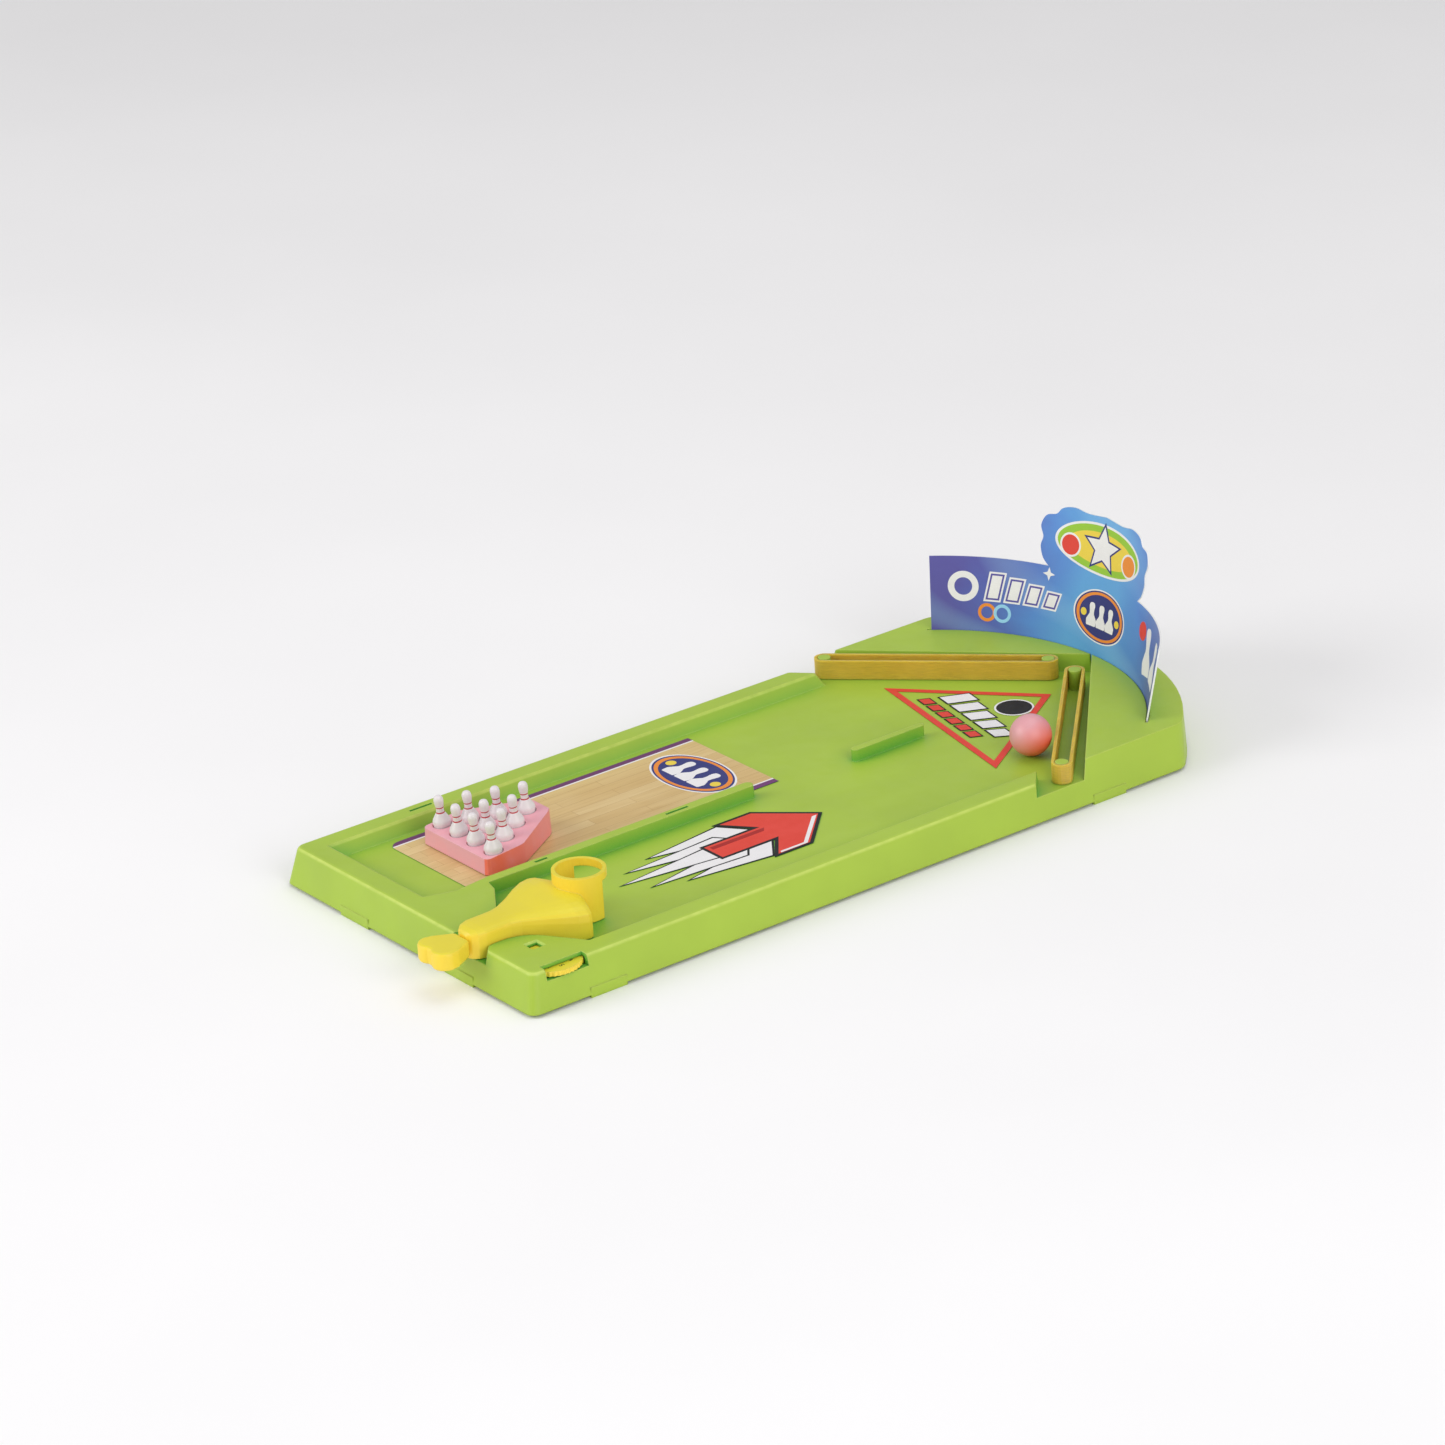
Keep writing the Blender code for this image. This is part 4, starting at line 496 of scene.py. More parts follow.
def wood_print(name, low, high):
    """A printed wooden lane: long planks with grain, a purple border and a white line on both sides."""
    shader = Shader(name, 0.38)
    plank = shader.node("TexBrick", offset=0.37, offset_frequency=2)
    turned_place = shader.stretched((1.0, 1.0, 1.0), (0, 0, 90 * DEGREE))
    shader.put(plank.inputs["Vector"], turned_place)
    for label, value in (("Scale", 1.0), ("Mortar Size", 0.12 * MM), ("Mortar Smooth", 0.4), ("Bias", 0.0)):
        plank.inputs[label].default_value = value
    plank.inputs["Brick Width"].default_value = PLANK_LENGTH
    plank.inputs["Row Height"].default_value = PLANK_WIDTH
    plank.inputs["Color1"].default_value = (*linear(0.89, 0.78, 0.56), 1)
    plank.inputs["Color2"].default_value = (*linear(0.84, 0.71, 0.47), 1)
    plank.inputs["Mortar"].default_value = (*linear(0.70, 0.55, 0.33), 1)
    grain = shader.noise(26, 5, shader.stretched((9.0, 0.55, 1.0)), 0.65, 0.6)
    dark_grain = shader.spread(grain, 0.38, 0.68, 0, 0.4)
    base = shader.mix(dark_grain, plank.outputs["Color"], linear(0.74, 0.59, 0.36))
    pale_patches = shader.spread(shader.noise(20, 2), 0.4, 0.7, 0, 0.35)
    base = shader.mix(pale_patches, base, linear(0.91, 0.82, 0.62))
    across = shader.part(0)
    from_side = shader.math(
        "MINIMUM",
        shader.math("SUBTRACT", across, low.x),
        shader.math("SUBTRACT", high.x, across),
    )
    soft = 0.05 * MM
    white_end = LANE_BORDER + LANE_LINE
    white = shader.spread(from_side, white_end + soft, white_end - soft)
    base = shader.mix(white, base, linear(0.93, 0.91, 0.92))
    purple = shader.spread(from_side, LANE_BORDER + soft, LANE_BORDER - soft)
    base = shader.mix(purple, base, linear(0.42, 0.16, 0.43))
    shader.colour(base)
    shader.roughness(shader.spread(grain, 0.3, 0.7, 0.32, 0.46))
    shader.bump(shader.math("ADD", grain, shader.noise(1500, 2)), 0.012 * MM)
    return shader.material


def banner_print(name):
    """The card's printed front: indigo at the ends, pale blue in the middle, with soft waves."""
    shader = Shader(name, 0.36)
    across = shader.math("ABSOLUTE", shader.part(0))
    wave = shader.noise(14, 3, shader.stretched((1.0, 1.0, 1.6), (0, 0.5, 0)), 0.5, 1.2)
    bent = shader.math("ADD", across, shader.spread(wave, 0.3, 0.7, -9 * MM, 9 * MM))
    stops = (
        (0.00, linear(0.38, 0.66, 0.90)),
        (0.30, linear(0.35, 0.56, 0.86)),
        (0.60, linear(0.35, 0.42, 0.74)),
        (0.86, linear(0.37, 0.35, 0.66)),
    )
    base = shader.ramp(shader.spread(bent, 12 * MM, 88 * MM), stops)
    ribbons = shader.node("TexWave", wave_type="BANDS", bands_direction="DIAGONAL", wave_profile="SIN")
    shader.put(ribbons.inputs["Vector"], shader.stretched((1.0, 1.0, 2.4)))
    for label, value in (("Scale", 5.0), ("Distortion", 5.0), ("Detail", 1.0), ("Detail Scale", 0.9)):
        ribbons.inputs[label].default_value = value
    soft = shader.spread(ribbons.outputs["Fac"], 0.55, 1.0, 0, 0.22)
    base = shader.mix(soft, base, linear(0.62, 0.80, 0.95))
    dots = shader.noise(2600, 1)
    base = shader.mix(shader.spread(dots, 0.3, 0.7, 0, 0.08), base, linear(0.2, 0.25, 0.6))
    shader.colour(base)
    shader.roughness(shader.spread(shader.noise(60, 2), 0.3, 0.7, 0.3, 0.42))
    shader.bump(shader.noise(1100, 3), 0.02 * MM)
    return shader.material


def card_stock(name):
    """Plain white card: short fibres and a soft tooth."""
    shader = Shader(name, 0.62)
    fibres = shader.noise(900, 4, shader.stretched((1.0, 1.0, 0.35)), 0.7)
    base = shader.mix(shader.spread(fibres, 0.3, 0.7), linear(0.88, 0.88, 0.89), linear(0.95, 0.95, 0.95))
    shader.colour(base)
    shader.bump(fibres, 0.03 * MM)
    return shader.material


def two_tone(name, pale, shade_colour, share_of, roughness, edge_colour):
    """Soft pink plastic with a coral painted shade on one side and paler edges as painted highlight."""
    shader = Shader(name, roughness)
    cloud = shader.noise(90, 3)
    share = shader.math("ADD", share_of(shader), shader.spread(cloud, 0.3, 0.7, -0.12, 0.12))
    base = shader.mix(shader.spread(share, 0.0, 1.0), pale, shade_colour)
    base = shader.mix(shader.spread(cloud, 0.45, 0.8, 0, 0.3), base, scaled(pale, 1.12))
    # Paler edges are painted highlight.
    edge, normal = shader.edges(0.6 * MM, 0.25)
    base = shader.mix(shader.math("MULTIPLY", edge, 0.5), base, edge_colour)
    shader.colour(base)
    shader.roughness(shader.spread(shader.noise(110, 3), 0.3, 0.7, roughness - 0.07, roughness + 0.07))
    grain = shader.math("MULTIPLY", shader.noise(1600, 2), 0.4)
    shader.bump(shader.math("ADD", cloud, grain), 0.04 * MM, normal)
    return shader.material


def rack_coral(low, high):
    """Where the rack's coral painted shade falls: its right-hand faces and top edge, deepest at the near
    corner and fading along the side.
    """

    def share_of(shader):
        facing = shader.part(0, shader.node("NewGeometry").outputs["Normal"])
        side = shader.spread(facing, 0.05, 0.4)
        fade = shader.spread(shader.part(1), low.y, low.y * 0.2 + high.y * 0.8, 1.2, 0.5)
        return shader.math("MULTIPLY", side, fade)

    return share_of


def ball_coral_side(reach):
    """Where the ball's coral painted shade falls: its lower right side."""

    def share_of(shader):
        along = shader.node("VectorMath", operation="DOT_PRODUCT")
        shader.put(along.inputs[0], shader.place)
        along.inputs[1].default_value = BALL_SHADE_DIRECTION
        return shader.spread(along.outputs["Value"], -reach * 0.35, reach * 0.75)

    return share_of


# Pieces


def add_piece(name, mesh, body, finishes, replaced=()):
    """Makes a mesh into a piece of the model: it rides on a body and takes the place of CAD nodes."""
    made = bpy.data.objects.new(name, mesh)
    bpy.context.scene.collection.objects.link(made)
    for finish in finishes:
        mesh.materials.append(finish)
    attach(made, body)
    if replaced:
        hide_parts(*replaced)
    return made


def finish_mesh(form, name, angle=35 * DEGREE):
    bmesh.ops.recalc_face_normals(form, faces=form.faces)
    mesh = bpy.data.meshes.new(name)
    form.to_mesh(mesh)
    form.free()
    mesh.shade_smooth()
    mesh.set_sharp_from_angle(angle=angle)
    return mesh


def plate(shapes, low, thickness):
    """Flat shapes that share their corners, raised to a closed plate. Each shape is a list of pairs."""
    form = bmesh.new()
    corners = {}
    for shape in shapes:
        face = []
        for x, y in shape:
            key = (round(x / MM, 4), round(y / MM, 4))
            if key not in corners:
                corners[key] = form.verts.new((x, y, low))
            if corners[key] not in face:
                face.append(corners[key])
        if len(face) > 2:
            form.faces.new(face)
    bmesh.ops.recalc_face_normals(form, faces=form.faces)
    grown = bmesh.ops.extrude_face_region(form, geom=list(form.faces), use_keep_orig=True)
    raised = [item for item in grown["geom"] if isinstance(item, bmesh.types.BMVert)]
    bmesh.ops.translate(form, verts=raised, vec=(0, 0, thickness))
    return form


def ring_of(x, y, radius, count=48, squash=1.0):
    points = []
    for index in range(count):
        angle = 2 * math.pi * index / count
        points.append((x + radius * math.cos(angle), y + radius * squash * math.sin(angle)))
    return points


def between(outer, inner):
    """The four-sided shapes between two outlines with equally many points."""
    count = len(outer)
    shapes = []
    for index in range(count):
        following = (index + 1) % count
        shapes.append([outer[index], outer[following], inner[following], inner[index]])
    return shapes


def star(x, y, outer, inner, count, turn=0.0):
    points = []
    for index in range(2 * count):
        radius = outer if index % 2 == 0 else inner
        angle = turn + math.pi * index / count
        points.append((x + radius * math.cos(angle), y + radius * math.sin(angle)))
    return points


def shrunk(outline, distance):
    """An outline, run anticlockwise, with each edge moved inward. The sharpest corners move less."""
    count = len(outline)
    moved = []
    for index in range(count):
        before = Vector(outline[index - 1])
        here = Vector(outline[index])
        after = Vector(outline[(index + 1) % count])
        first = (here - before).normalized()
        second = (after - here).normalized()
        first_in = Vector((-first.y, first.x))
        second_in = Vector((-second.y, second.x))
        middle = (first_in + second_in).normalized()
        reach = distance / max(SHARPEST_CORNER, middle.dot(first_in))
        moved.append(tuple(here + middle * reach))
    return moved


# Stage, light and camera


def make_camera():
    data = bpy.data.cameras.new("camera")
    data.sensor_width = SENSOR_WIDTH_MM
    data.lens = LENS_MM
    data.clip_end = CLIP_END
    camera = bpy.data.objects.new("camera", data)
    bpy.context.scene.collection.objects.link(camera)
    back = (EYE - AIM).normalized()
    right = CAMERA_UP.cross(back).normalized()
    up = back.cross(right)
    turn = Matrix((right, up, back)).transposed().to_4x4()
    camera.matrix_world = Matrix.Translation(EYE) @ turn
    bpy.context.scene.camera = camera


def make_lamp(name, place, size, power):
    data = bpy.data.lights.new(name, "AREA")
    data.shape = "DISK"
    data.size = size
    data.energy = power
    lamp = bpy.data.objects.new(name, data)
    bpy.context.scene.collection.objects.link(lamp)
    heading = -Vector(place)
    turn = heading.to_track_quat("-Z", "Y").to_matrix().to_4x4()
    lamp.matrix_world = Matrix.Translation(place) @ turn


def make_stage():
    """A pale floor, soft lamps and an even pale sky."""
    form = bmesh.new()
    bmesh.ops.create_circle(form, cap_ends=True, radius=FLOOR_RADIUS, segments=FLOOR_SIDES)
    mesh = finish_mesh(form, "floor")
    floor = bpy.data.objects.new("floor", mesh)
    bpy.context.scene.collection.objects.link(floor)
    floor.location.z = cad_box[0].z
    shader = Shader("pale_floor", 0.75)
    cloud = shader.noise(3, 3)
    pale, paler = linear(0.975, 0.97, 0.975), linear(0.99, 0.985, 0.99)
    shader.colour(shader.mix(shader.spread(cloud, 0.3, 0.7), pale, paler))
    shader.surface.inputs["Specular IOR Level"].default_value = 0.2
    mesh.materials.append(shader.material)

    world = bpy.data.worlds.new("studio")
    world.use_nodes = True
    sky = world.node_tree.nodes["Background"]
    sky.inputs["Color"].default_value = (1, 1, 1, 1)
    sky.inputs["Strength"].default_value = SKY_STRENGTH
    bpy.context.scene.world = world
    for name, place, size, power in LAMPS:
        make_lamp(name, place, size, power)


# The CAD nodes that stay


def dress(node, finish, rounding=None, segments=3):
    """Gives a CAD node its material and, where asked, rounded edges."""
    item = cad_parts[node]
    for place in item.material_slots:
        place.material = finish
    if rounding:
        weld = item.modifiers.new("joined_corners", "WELD")
        weld.merge_threshold = JOINED_CORNER_REACH
        bevel = item.modifiers.new("rounded_edges", "BEVEL")
        bevel.width = rounding
        bevel.segments = segments
        bevel.limit_method = "ANGLE"
        bevel.angle_limit = ROUNDED_FROM_ANGLE
        bevel.harden_normals = True


# Pins and ball


def smooth_profile(shares, steps=5):
    """A finer profile through the same points, without overshoot at the ends."""
    fine = []
    last = len(shares) - 1
    for index in range(last):
        before = shares[max(0, index - 1)]
        here = shares[index]
        after = shares[index + 1]
        beyond = shares[min(last, index + 2)]
        for step in range(steps):
            t = step / steps
            pair = []
            for axis in range(2):
                a, b, c, d = before[axis], here[axis], after[axis], beyond[axis]
                bend = (2 * a - 5 * b + 4 * c - d) * t * t + (3 * b - a - 3 * c + d) * t**3
                pair.append(0.5 * (2 * b + (c - a) * t + bend))
            fine.append((max(0.0, pair[0]), min(1.0, pair[1])))
    fine.append(shares[-1])
    return fine


def pin_rings():
    """Radius and height pairs, with extra rings at the edges of the stripes."""
    fine = smooth_profile(PIN_SHARES)
    heights = [pair[1] for pair in fine]
    for low, high in PIN_STRIPE_SHARES:
        for height in (low, high):
            above = next(index for index, value in enumerate(heights) if value > height)
            first, second = fine[above - 1], fine[above]
            share = (height - first[1]) / (second[1] - first[1])
            fine.insert(above, (first[0] + (second[0] - first[0]) * share, height))
            heights.insert(above, height)
    return fine


def pin_mesh(name):
    rings = pin_rings()
    form = bmesh.new()
    levels = []
    for radius, height in rings[:-1]:
        ring = []
        for index in range(PIN_SIDES):
            angle = 2 * math.pi * index / PIN_SIDES
            x = radius * PIN_BELLY_RADIUS * math.cos(angle)
            y = radius * PIN_BELLY_RADIUS * math.sin(angle)
            ring.append(form.verts.new((x, y, height * PIN_HEIGHT)))
        levels.append(ring)
    form.faces.new(levels[0][::-1])
    for number in range(len(levels) - 1):
        middle = (rings[number][1] + rings[number + 1][1]) / 2
        striped = any(low < middle < high for low, high in PIN_STRIPE_SHARES)
        for index in range(PIN_SIDES):
            following = (index + 1) % PIN_SIDES
            low, high = levels[number], levels[number + 1]
            face = form.faces.new((low[index], low[following], high[following], high[index]))
            face.material_index = 1 if striped else 0
    tip = form.verts.new((0, 0, PIN_HEIGHT))
    for index in range(PIN_SIDES):
        form.faces.new((levels[-1][index], levels[-1][(index + 1) % PIN_SIDES], tip))
    return finish_mesh(form, name, angle=50 * DEGREE)


def pin_outline(x, y, height, lean=0.0):
    """A plain pin seen from the side."""
    points = []
    fine = smooth_profile(PIN_SHARES, 3)
    width = height * PIN_BELLY_RADIUS / PIN_HEIGHT * PRINTED_PIN_WIDENING
    for side in (1, -1):
        pairs = fine if side > 0 else fine[-2::-1]
        for radius, share in pairs:
            across = side * radius * width
            rise = share * height
            turned_x = across * math.cos(lean) - rise * math.sin(lean)
            turned_y = across * math.sin(lean) + rise * math.cos(lean)
            points.append((x + turned_x, y + turned_y))
    return points


def axis_foot(node, axis):
    """The point where a turned node's axis meets its lowest end."""
    points = [vertex.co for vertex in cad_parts[node].data.vertices]
    middle = sum(points, Vector()) / len(points)
    low = min(point.dot(axis) for point in points)
    return middle + axis * (low - middle.dot(axis))


def make_pins(white, red):
    turn = Matrix.Rotation(PIN_SLOPE, 4, "X")
    axis = turn @ Vector((0, 0, 1))
    for number in range(1, 11):
        node = f"pin_{number:02d}"
        mesh = pin_mesh(f"striped_{node}")
        made = add_piece(f"striped_{node}", mesh, node, [white, red], [node])
        made.matrix_world = Matrix.Translation(axis_foot(node, axis)) @ turn


def make_ball(finish):
    low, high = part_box("ball")
    radius = (high.x - low.x) / 2
    form = bmesh.new()
    bmesh.ops.create_uvsphere(form, u_segments=64, v_segments=40, radius=radius * BALL_SHARE)
    mesh = finish_mesh(form, "smooth_ball")
    made = add_piece("smooth_ball", mesh, "ball", [finish], ["ball"])
    made.location = (low + high) / 2


# Flat printed pieces on the tray's floor


def print_place(node):
    """A sticker's box, and how thick the flat print that replaces it is."""
    low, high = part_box(node)
    return low, high, high.z - INK_THICKNESS * INK_LAYERS - low.z


def flat_print(name, shapes, low, thickness, finish, replaced=()):
    form = plate(shapes, low, thickness)
    return add_piece(name, finish_mesh(form, name), "tray", [finish], replaced)


def corner_arc(x, y, radius, start, steps=8):
    points = []
    for index in range(steps + 1):
        angle = start + math.pi / 2 * index / steps
        points.append((x + radius * math.cos(angle), y + radius * math.sin(angle)))
    return points


def emblem_layers(x, y, half, squash):
    """A wide round emblem of white, navy and orange with plain pins and balls, lowest layer first."""
    ring, inner = [ring_of(x, y, share * half, 64, squash) for share in EMBLEM_RING]
    foot = y - EMBLEM_PIN_DROP * half
    pins = []
    for step in (-1, 0, 1):
        pins.append(pin_outline(x + step * EMBLEM_PIN_STEP * half, foot, EMBLEM_PIN_HEIGHT * half))
    balls = []
    for side in (-1, 1):
        balls.append(ring_of(x + side * EMBLEM_BALL_ACROSS * half, y, EMBLEM_BALL_RADIUS * half, 32))
    return (
        ("rim", [ring_of(x, y, half, 64, squash)], "white"),
        ("field", [ring_of(x, y, EMBLEM_FIELD * half, 64, squash)], "navy"),
        ("ring", between(ring, inner), "orange"),
        ("balls", balls, "yellow"),
        ("pins", pins, "white"),
    )


def make_lane_print():
    """The printed wooden lane, with a wide emblem near its far end."""
    low, high, thickness = print_place("lane_sticker")
    corner = LANE_CORNER_RADIUS
    outline = corner_arc(low.x + corner, low.y + corner, corner, math.pi)
    outline += corner_arc(high.x - corner, low.y + corner, corner, 1.5 * math.pi)
    outline += [(high.x, high.y), (low.x, high.y)]
    wood = wood_print("wood_lane_print", low, high)
    flat_print("lane_print", [outline], low.z, thickness, wood, ["lane_sticker"])

    top = low.z + thickness
    middle = (low.x + high.x) / 2
    layers = emblem_layers(middle, high.y - LANE_EMBLEM_FROM_END, LANE_EMBLEM_HALF, LANE_EMBLEM_SQUASH)
    for number, (name, shapes, tone) in enumerate(layers):
        layer = INK_THICKNESS * (0.4 + number * 0.5)
        flat_print(f"lane_emblem_{name}", shapes, top, layer, INK[tone])


def make_arrow_print():
    """A block arrow with long white spikes behind it, all with black outlines."""
    low, high, thickness = print_place("arrow_sticker")
    middle = (low.x + high.x) / 2
    half = (high.x - low.x) / 2
    length = high.y - low.y

    def placed(shares):
        return [(middle + x * half, low.y + y * length) for x, y in shares]

    left_side = [(-x, y) for x, y in ARROW_RIGHT_SHARES[::-1]]
    arrow = placed([*ARROW_RIGHT_SHARES, (0.0, ARROW_TIP_SHARE), *left_side])
    top = low.z + thickness
    # A later spike stands a little higher, so that its outline shows on the one below.
    for number, spike in enumerate(SPIKE_SHARES):
        outline = placed(spike)
        dark = thickness - INK_THICKNESS * (2.5 - 0.4 * number)
        flat_print(f"spike_outline_{number}", [outline], low.z, dark, INK["black"])
        inner = shrunk(outline, SPIKE_LINE)
        level = low.z + dark
        flat_print(f"spike_{number}", [inner], level, INK_THICKNESS * 0.3, INK["white"])
    black = INK["black"]
    flat_print("arrow_outline", [arrow], low.z, thickness, black, ["arrow_sticker"])
    face = shrunk(arrow, ARROW_LINE)
    flat_print("arrow_face", [face], top, INK_THICKNESS * 0.5, INK["red"])
    gleam = placed(GLEAM_SHARES)
    flat_print("arrow_gleam", [gleam], top, INK_THICKNESS, INK["white"])
    dart = placed(DART_SHARES)
    flat_print("arrow_dart", [dart], top, INK_THICKNESS, INK["dark_red"])


def make_target_print():
    """A red three-sided frame with a row of slanted bars, a red bar and a black disc in it."""
    low, high, thickness = print_place("target_sticker")
    width = high.x - low.x
    length = high.y - low.y
    corners = [Vector((low.x, low.y + length * TARGET_LEFT_SHARE)), Vector((high.x, low.y))]
    corners.append(Vector((low.x + width * TARGET_FAR_SHARE, high.y)))
    outer = shrunk([tuple(corner) for corner in corners], TARGET_MARGIN)
    inner = shrunk([tuple(corner) for corner in corners], TARGET_MARGIN + TARGET_FRAME_WIDTH)
    frame_shapes = between(outer, inner)
    flat_print("target_frame", frame_shapes, low.z, thickness, INK["red"], ["target_sticker"])
    run = (corners[1] - corners[0]).normalized()
    rise = Vector((-run.y, run.x))

    def placed(pairs):
        return [tuple(corners[0] + run * (x * MM) + rise * (y * MM)) for x, y in pairs]

    surface = low.z + thickness
    for tone, count, first, step, bar_width, foot, top, drop, slant, edge in TARGET_BARS:
        outlines = []
        for index in range(count):
            start = first + step * index
            end = start + bar_width
            head = top - drop * index
            shape = [(start, foot), (end, foot), (end + slant, head), (start + slant, head)]
            outlines.append(placed(shape))
        flat_print(f"target_{tone}_edge", outlines, low.z, thickness, INK["black"])
        faces = [shrunk(outline, edge * MM) for outline in outlines]
        flat_print(f"target_{tone}_bars", faces, surface, INK_THICKNESS * 0.5, INK[tone])
    centre = placed([TARGET_DISC_PLACE])[0]
    disc = ring_of(*centre, TARGET_DISC_RADIUS)
    flat_print("target_disc", [disc], low.z, thickness, INK["white"])
    core = ring_of(*centre, TARGET_DISC_RADIUS - TARGET_DISC_LINE)
    flat_print("target_disc_core", [core], surface, INK_THICKNESS * 0.5, INK["black"])


# The backdrop card and its print


def card_point(across, rise, outward):
    """A point on the card: distance along its arc, height above the bend and distance from its front."""
    angle = across / CARD_RADIUS
    lean = max(0.0, rise) * math.tan(CARD_LEAN)
    radius = CARD_RADIUS - CARD_THICKNESS / 2 + outward + lean
    low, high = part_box("backdrop_card")
    top_lean = (CARD_BAND_HEIGHT + BADGE_RISE) * math.tan(CARD_LEAN)
    centre_y = high.y - CARD_RADIUS - CARD_THICKNESS / 2 - top_lean
    bend_z = low.z + SLOT_ROOM
    return Vector((radius * math.sin(angle), centre_y + radius * math.cos(angle), bend_z + rise))


def bend_onto_card(form, outward):
    """Cuts flat shapes into narrow upright strips and wraps them onto the card."""
    step = 2.4 * MM
    reach = CARD_RADIUS * CARD_HALF_ANGLE
    cuts = int(reach / step)
    planes = [((index * step, 0, 0), (1, 0, 0)) for index in range(-cuts, cuts + 1)]
    planes.append(((0, 0, 0), (0, 1, 0)))
    for place, facing in planes:
        geometry = list(form.verts) + list(form.edges) + list(form.faces)
        bmesh.ops.bisect_plane(form, geom=geometry, plane_co=place, plane_no=facing, dist=SAME_PLACE)
    for vertex in form.verts:
        across, rise, depth = vertex.co
        vertex.co = card_point(across, rise, outward + depth)


def badge_outline():
    """The die-cut badge: a wide rounded plaque with soft scallops, from its right foot to its left foot."""
    half = CARD_RADIUS * BADGE_HALF_ANGLE
    right = smooth_profile(BADGE_SHARES, 5)
    left = [(-x, y) for x, y in right[-2::-1]]
    return [(x * half, CARD_BAND_HEIGHT + y * BADGE_RISE) for x, y in right + left]


def make_card():
    reach = CARD_RADIUS * CARD_HALF_ANGLE
    outline = [(-reach, -SLOT_ROOM), (reach, -SLOT_ROOM), (reach, CARD_BAND_HEIGHT)]
    outline += badge_outline()
    outline += [(-reach, CARD_BAND_HEIGHT)]
    form = plate([outline], 0, CARD_THICKNESS)
    for face in form.faces:
        face.material_index = 0 if abs(face.calc_center_median().z) < SAME_PLACE else 1
    bend_onto_card(form, 0)
    mesh = finish_mesh(form, "printed_card", angle=30 * DEGREE)
    finishes = [banner_print("banner_print"), card_stock("white_card")]
    add_piece("printed_banner", mesh, "card", finishes, ["backdrop_card"])


def card_print(name, shapes, layer, finish):
    form = plate(shapes, 0, INK_THICKNESS)
    bend_onto_card(form, -INK_THICKNESS * (1 + layer))
    add_piece(name, finish_mesh(form, name), "card", [finish])


def make_banner_left():
    """A ring, slanted bars, two linked rings and a spark on the banner's left half."""
    rings = [ring_of(BANNER_LEFT, BANNER_RING_HEIGHT, radius) for radius in BANNER_RING_RADII]
    card_print("banner_ring_white", between(*rings), 0, INK["white"])

    bars = []
    for index in range(BANNER_BAR_COUNT):
        start = BANNER_LEFT + BANNER_BAR_FROM_RING + BANNER_BAR_STEP * index
        end = start + BANNER_BAR_WIDTH
        foot = BANNER_BAR_FOOT
        top = BANNER_BAR_TOP - BANNER_BAR_DROP * index
        slant = BANNER_BAR_SLANT
        bars.append([(start, foot), (end, foot), (end + slant, top), (start + slant, top)])
    lines = [shrunk(bar, BANNER_BAR_LINE) for bar in bars]
    fills = [shrunk(bar, 2 * BANNER_BAR_LINE) for bar in bars]
    card_print("banner_bars_rim", bars, 0, INK["white"])
    card_print("banner_bars_line", lines, 1, INK["violet"])
    card_print("banner_bars_fill", fills, 2, INK["white"])

    for number, (shift, tone) in enumerate(BANNER_LINKS):
        x = BANNER_LEFT + shift
        rings = [ring_of(x, BANNER_LINK_HEIGHT, radius) for radius in BANNER_LINK_RADII]
        card_print(f"banner_link_{number}", between(*rings), number, INK[tone])
    spark = star(*BANNER_SPARK_PLACE, *BANNER_SPARK_RADII, 4)
    card_print("banner_spark", [spark], 0, INK["white"])


def make_badge_print():
    """A wide oval with a star and two plain balls on the badge."""
    for layer, (name, half, squash, tone) in enumerate(BADGE_OVALS):
        card_print(f"badge_{name}", [ring_of(0, BADGE_MIDDLE, half, 64, squash)], layer, INK[tone])
    upright = math.pi / 2
    rim = star(0, BADGE_STAR_HEIGHT, *BADGE_STAR_RIM_RADII, 5, upright)
    card_print("badge_star_rim", [rim], 3, INK["navy"])
    face = star(0, BADGE_STAR_HEIGHT, *BADGE_STAR_RADII, 5, upright)
    card_print("badge_star", [face], 4, INK["white"])
    for name, side, tone in (("left", -1, "red"), ("right", 1, "orange")):
        x = side * BADGE_BALL_ACROSS
        rim = ring_of(x, BADGE_BALL_HEIGHT, BADGE_BALL_RIM_RADIUS)
        card_print(f"badge_ball_rim_{name}", [rim], 3, INK["white"])
        face = ring_of(x, BADGE_BALL_HEIGHT, BADGE_BALL_RADIUS)
        card_print(f"badge_ball_{name}", [face], 4, INK[tone])


def make_card_prints():
    """Plain generic designs in flat colours, on the banner and on the badge above its middle."""
    make_banner_left()
    emblem = emblem_layers(*BANNER_EMBLEM_PLACE, BANNER_EMBLEM_HALF, BANNER_EMBLEM_SQUASH)
    for number, (name, shapes, tone) in enumerate(emblem):
        card_print(f"banner_emblem_{name}", shapes, number, INK[tone])
    make_badge_print()
    for number, (x, lean) in enumerate(BANNER_PINS):
        outline = pin_outline(x, BANNER_PIN_FOOT, BANNER_PIN_HEIGHT, lean)
        card_print(f"banner_pin_{number}", [outline], 0, INK["white"])
    ball = ring_of(*BANNER_BALL_PLACE, BANNER_BALL_RADIUS)
    card_print("banner_ball", [ball], 0, INK["red"])


# The score dial's numbers and the spring


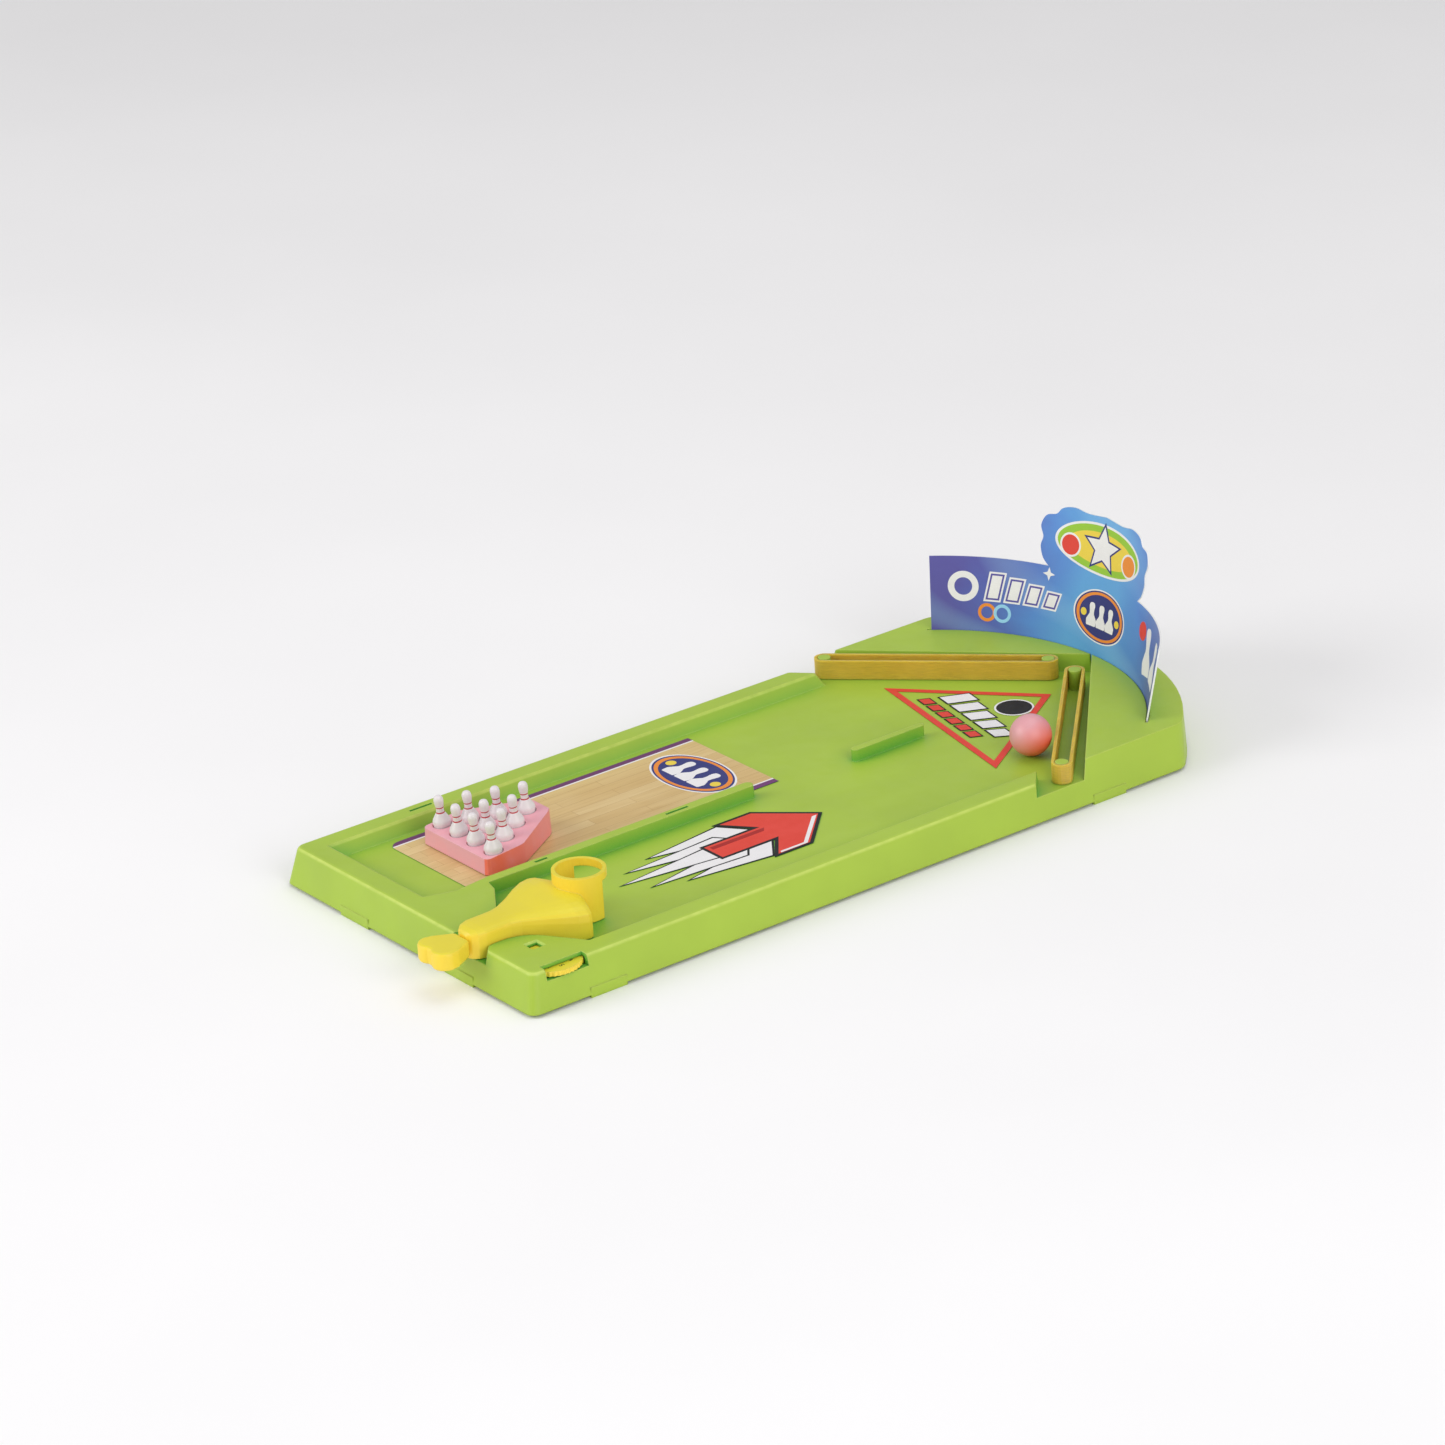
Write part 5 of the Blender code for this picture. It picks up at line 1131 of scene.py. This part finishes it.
def make_dial_numbers(finish):
    """The numbers 0 to 9 round the dial's top, one of them under the window."""
    low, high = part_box("score_dial")
    centre = (low + high) / 2
    radius = (high.x - low.x) / 2
    window = Vector((-NUMBER_REACH_SHARE * radius, WINDOW_BEYOND_CENTRE, 0))
    reach = window.length
    start = math.atan2(window.y, window.x)
    for number in range(DIAL_NUMBERS):
        curve = bpy.data.curves.new(f"dial_number_{number}", "FONT")
        curve.body = str(number)
        curve.size = NUMBER_SIZE
        curve.align_x = "CENTER"
        curve.align_y = "CENTER"
        curve.extrude = INK_THICKNESS
        curve.materials.append(finish)
        made = bpy.data.objects.new(f"dial_number_{number}", curve)
        bpy.context.scene.collection.objects.link(made)
        angle = start + 2 * math.pi * number / DIAL_NUMBERS
        outward = Vector((math.cos(angle), math.sin(angle), 0))
        place = Vector((centre.x, centre.y, high.z + INK_THICKNESS / 2)) + outward * reach
        made.matrix_world = Matrix.Translation(place) @ Matrix.Rotation(angle - start, 4, "Z")
        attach(made, "dial")


def make_spring(finish):
    """A round wire wound into a spring, riding on the launcher."""
    low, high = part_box("plunger_spring")
    wire = SPRING_WIRE
    radius = (high.x - low.x) / 2 - wire
    centre_x = (low.x + high.x) / 2
    centre_z = (low.z + high.z) / 2
    per_turn = 24
    around = 8
    start, end = low.y + wire, high.y - wire
    count = SPRING_TURNS * per_turn
    form = bmesh.new()
    rings = []
    for index in range(count + 1):
        angle = 2 * math.pi * index / per_turn
        outward = Vector((math.cos(angle), 0, math.sin(angle)))
        line = Vector((centre_x, start + (end - start) * index / count, centre_z)) + outward * radius
        ring = []
        for point in range(around):
            side = 2 * math.pi * point / around
            offset = outward * math.cos(side) * wire + Vector((0, math.sin(side) * wire, 0))
            ring.append(form.verts.new(line + offset))
        rings.append(ring)
    for first, second in zip(rings, rings[1:]):
        for point in range(around):
            following = (point + 1) % around
            form.faces.new((first[point], first[following], second[following], second[point]))
    form.faces.new(rings[0])
    form.faces.new(rings[-1][::-1])
    mesh = finish_mesh(form, "wound_spring", angle=60 * DEGREE)
    made = add_piece("wound_spring", mesh, "launcher", [finish], ["plunger_spring"])
    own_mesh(made)


make_camera()
make_stage()

INK = {
    "white": ink("white_ink", linear(0.93, 0.92, 0.93)),
    "black": ink("black_ink", linear(0.10, 0.10, 0.12)),
    "red": ink("red_ink", linear(0.88, 0.27, 0.22)),
    "dark_red": ink("dark_red_ink", linear(0.66, 0.13, 0.13)),
    "orange": ink("orange_ink", linear(0.93, 0.56, 0.22)),
    "yellow": ink("yellow_ink", linear(0.93, 0.82, 0.30)),
    "green": ink("green_ink", linear(0.60, 0.78, 0.24)),
    "navy": ink("navy_ink", linear(0.20, 0.22, 0.48)),
    "violet": ink("violet_ink", linear(0.36, 0.33, 0.64)),
    "sky": ink("sky_ink", linear(0.60, 0.82, 0.95)),
}

# The tray's paler edges and rims are painted highlight, and its darker green corners are painted shade.
green = moulded(
    "green_tray_plastic",
    linear(0.655, 0.765, 0.25),
    linear(0.84, 0.90, 0.46),
    0.42,
    wear_and_highlight=1.0,
    edge_radius=1.1 * MM,
    corner_shade=linear(0.36, 0.68, 0.25),
)
yellow = moulded(
    "yellow_launcher_plastic",
    linear(0.90, 0.835, 0.21),
    linear(0.95, 0.92, 0.50),
    0.42,
    # The side colour is painted shade on the launcher's upright faces.
    side=linear(0.97, 0.845, 0.25),
)
dark_yellow = moulded("yellow_inner_plastic", linear(0.86, 0.78, 0.20), linear(0.93, 0.88, 0.45), 0.42)
band_rubber = rubber("ochre_band_rubber", linear(0.79, 0.67, 0.24))
pin_white = moulded(
    "white_pin_plastic",
    linear(0.90, 0.87, 0.88),
    linear(0.97, 0.96, 0.96),
    0.3,
    wear_and_highlight=0.3,
    mottle=0.02,
    edge_radius=0.4 * MM,
)
pin_red = ink("red_pin_stripe", linear(0.74, 0.20, 0.25), 0.35)
bright_steel = steel("bright_steel")

dress("base_tray", green, 0.45 * MM, 2)
dress("launcher_housing", yellow, 0.5 * MM)
dress("launcher_base_plate", dark_yellow)
dress("pull_knob", yellow)
dress("striker_head", yellow)
dress("plunger_rod", dark_yellow)
dress("score_dial", yellow)
for band in ("rubber_band_left", "rubber_band_right"):
    dress(band, band_rubber)
for fastener in (
    "dial_washer",
    "dial_screw",
    "launcher_screw_left",
    "launcher_screw_right",
    "pivot_washer",
    "pivot_screw",
    "knob_screw",
):
    dress(fastener, bright_steel)

rack_low, rack_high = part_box("pin_rack")
# The rack's coral right-hand faces are painted shade.
rack_pink = two_tone(
    "pink_rack_plastic",
    linear(0.93, 0.67, 0.72),
    linear(0.99, 0.46, 0.36),
    rack_coral(rack_low, rack_high),
    0.42,
    linear(0.94, 0.80, 0.82),
)
dress("pin_rack", rack_pink, 0.4 * MM, 2)

ball_low, ball_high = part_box("ball")
# The ball's coral lower right is painted shade.
ball_shaded_pink = two_tone(
    "pink_ball_painted_shade_plastic",
    linear(0.88, 0.63, 0.66),
    linear(0.96, 0.41, 0.31),
    ball_coral_side((ball_high.x - ball_low.x) / 2),
    0.36,
    linear(0.95, 0.7, 0.7),
)

make_pins(pin_white, pin_red)
make_ball(ball_shaded_pink)
make_lane_print()
make_arrow_print()
make_target_print()
make_card()
make_card_prints()
make_dial_numbers(INK["black"])
make_spring(bright_steel)

scene = bpy.context.scene
scene.view_settings.view_transform = "Standard"
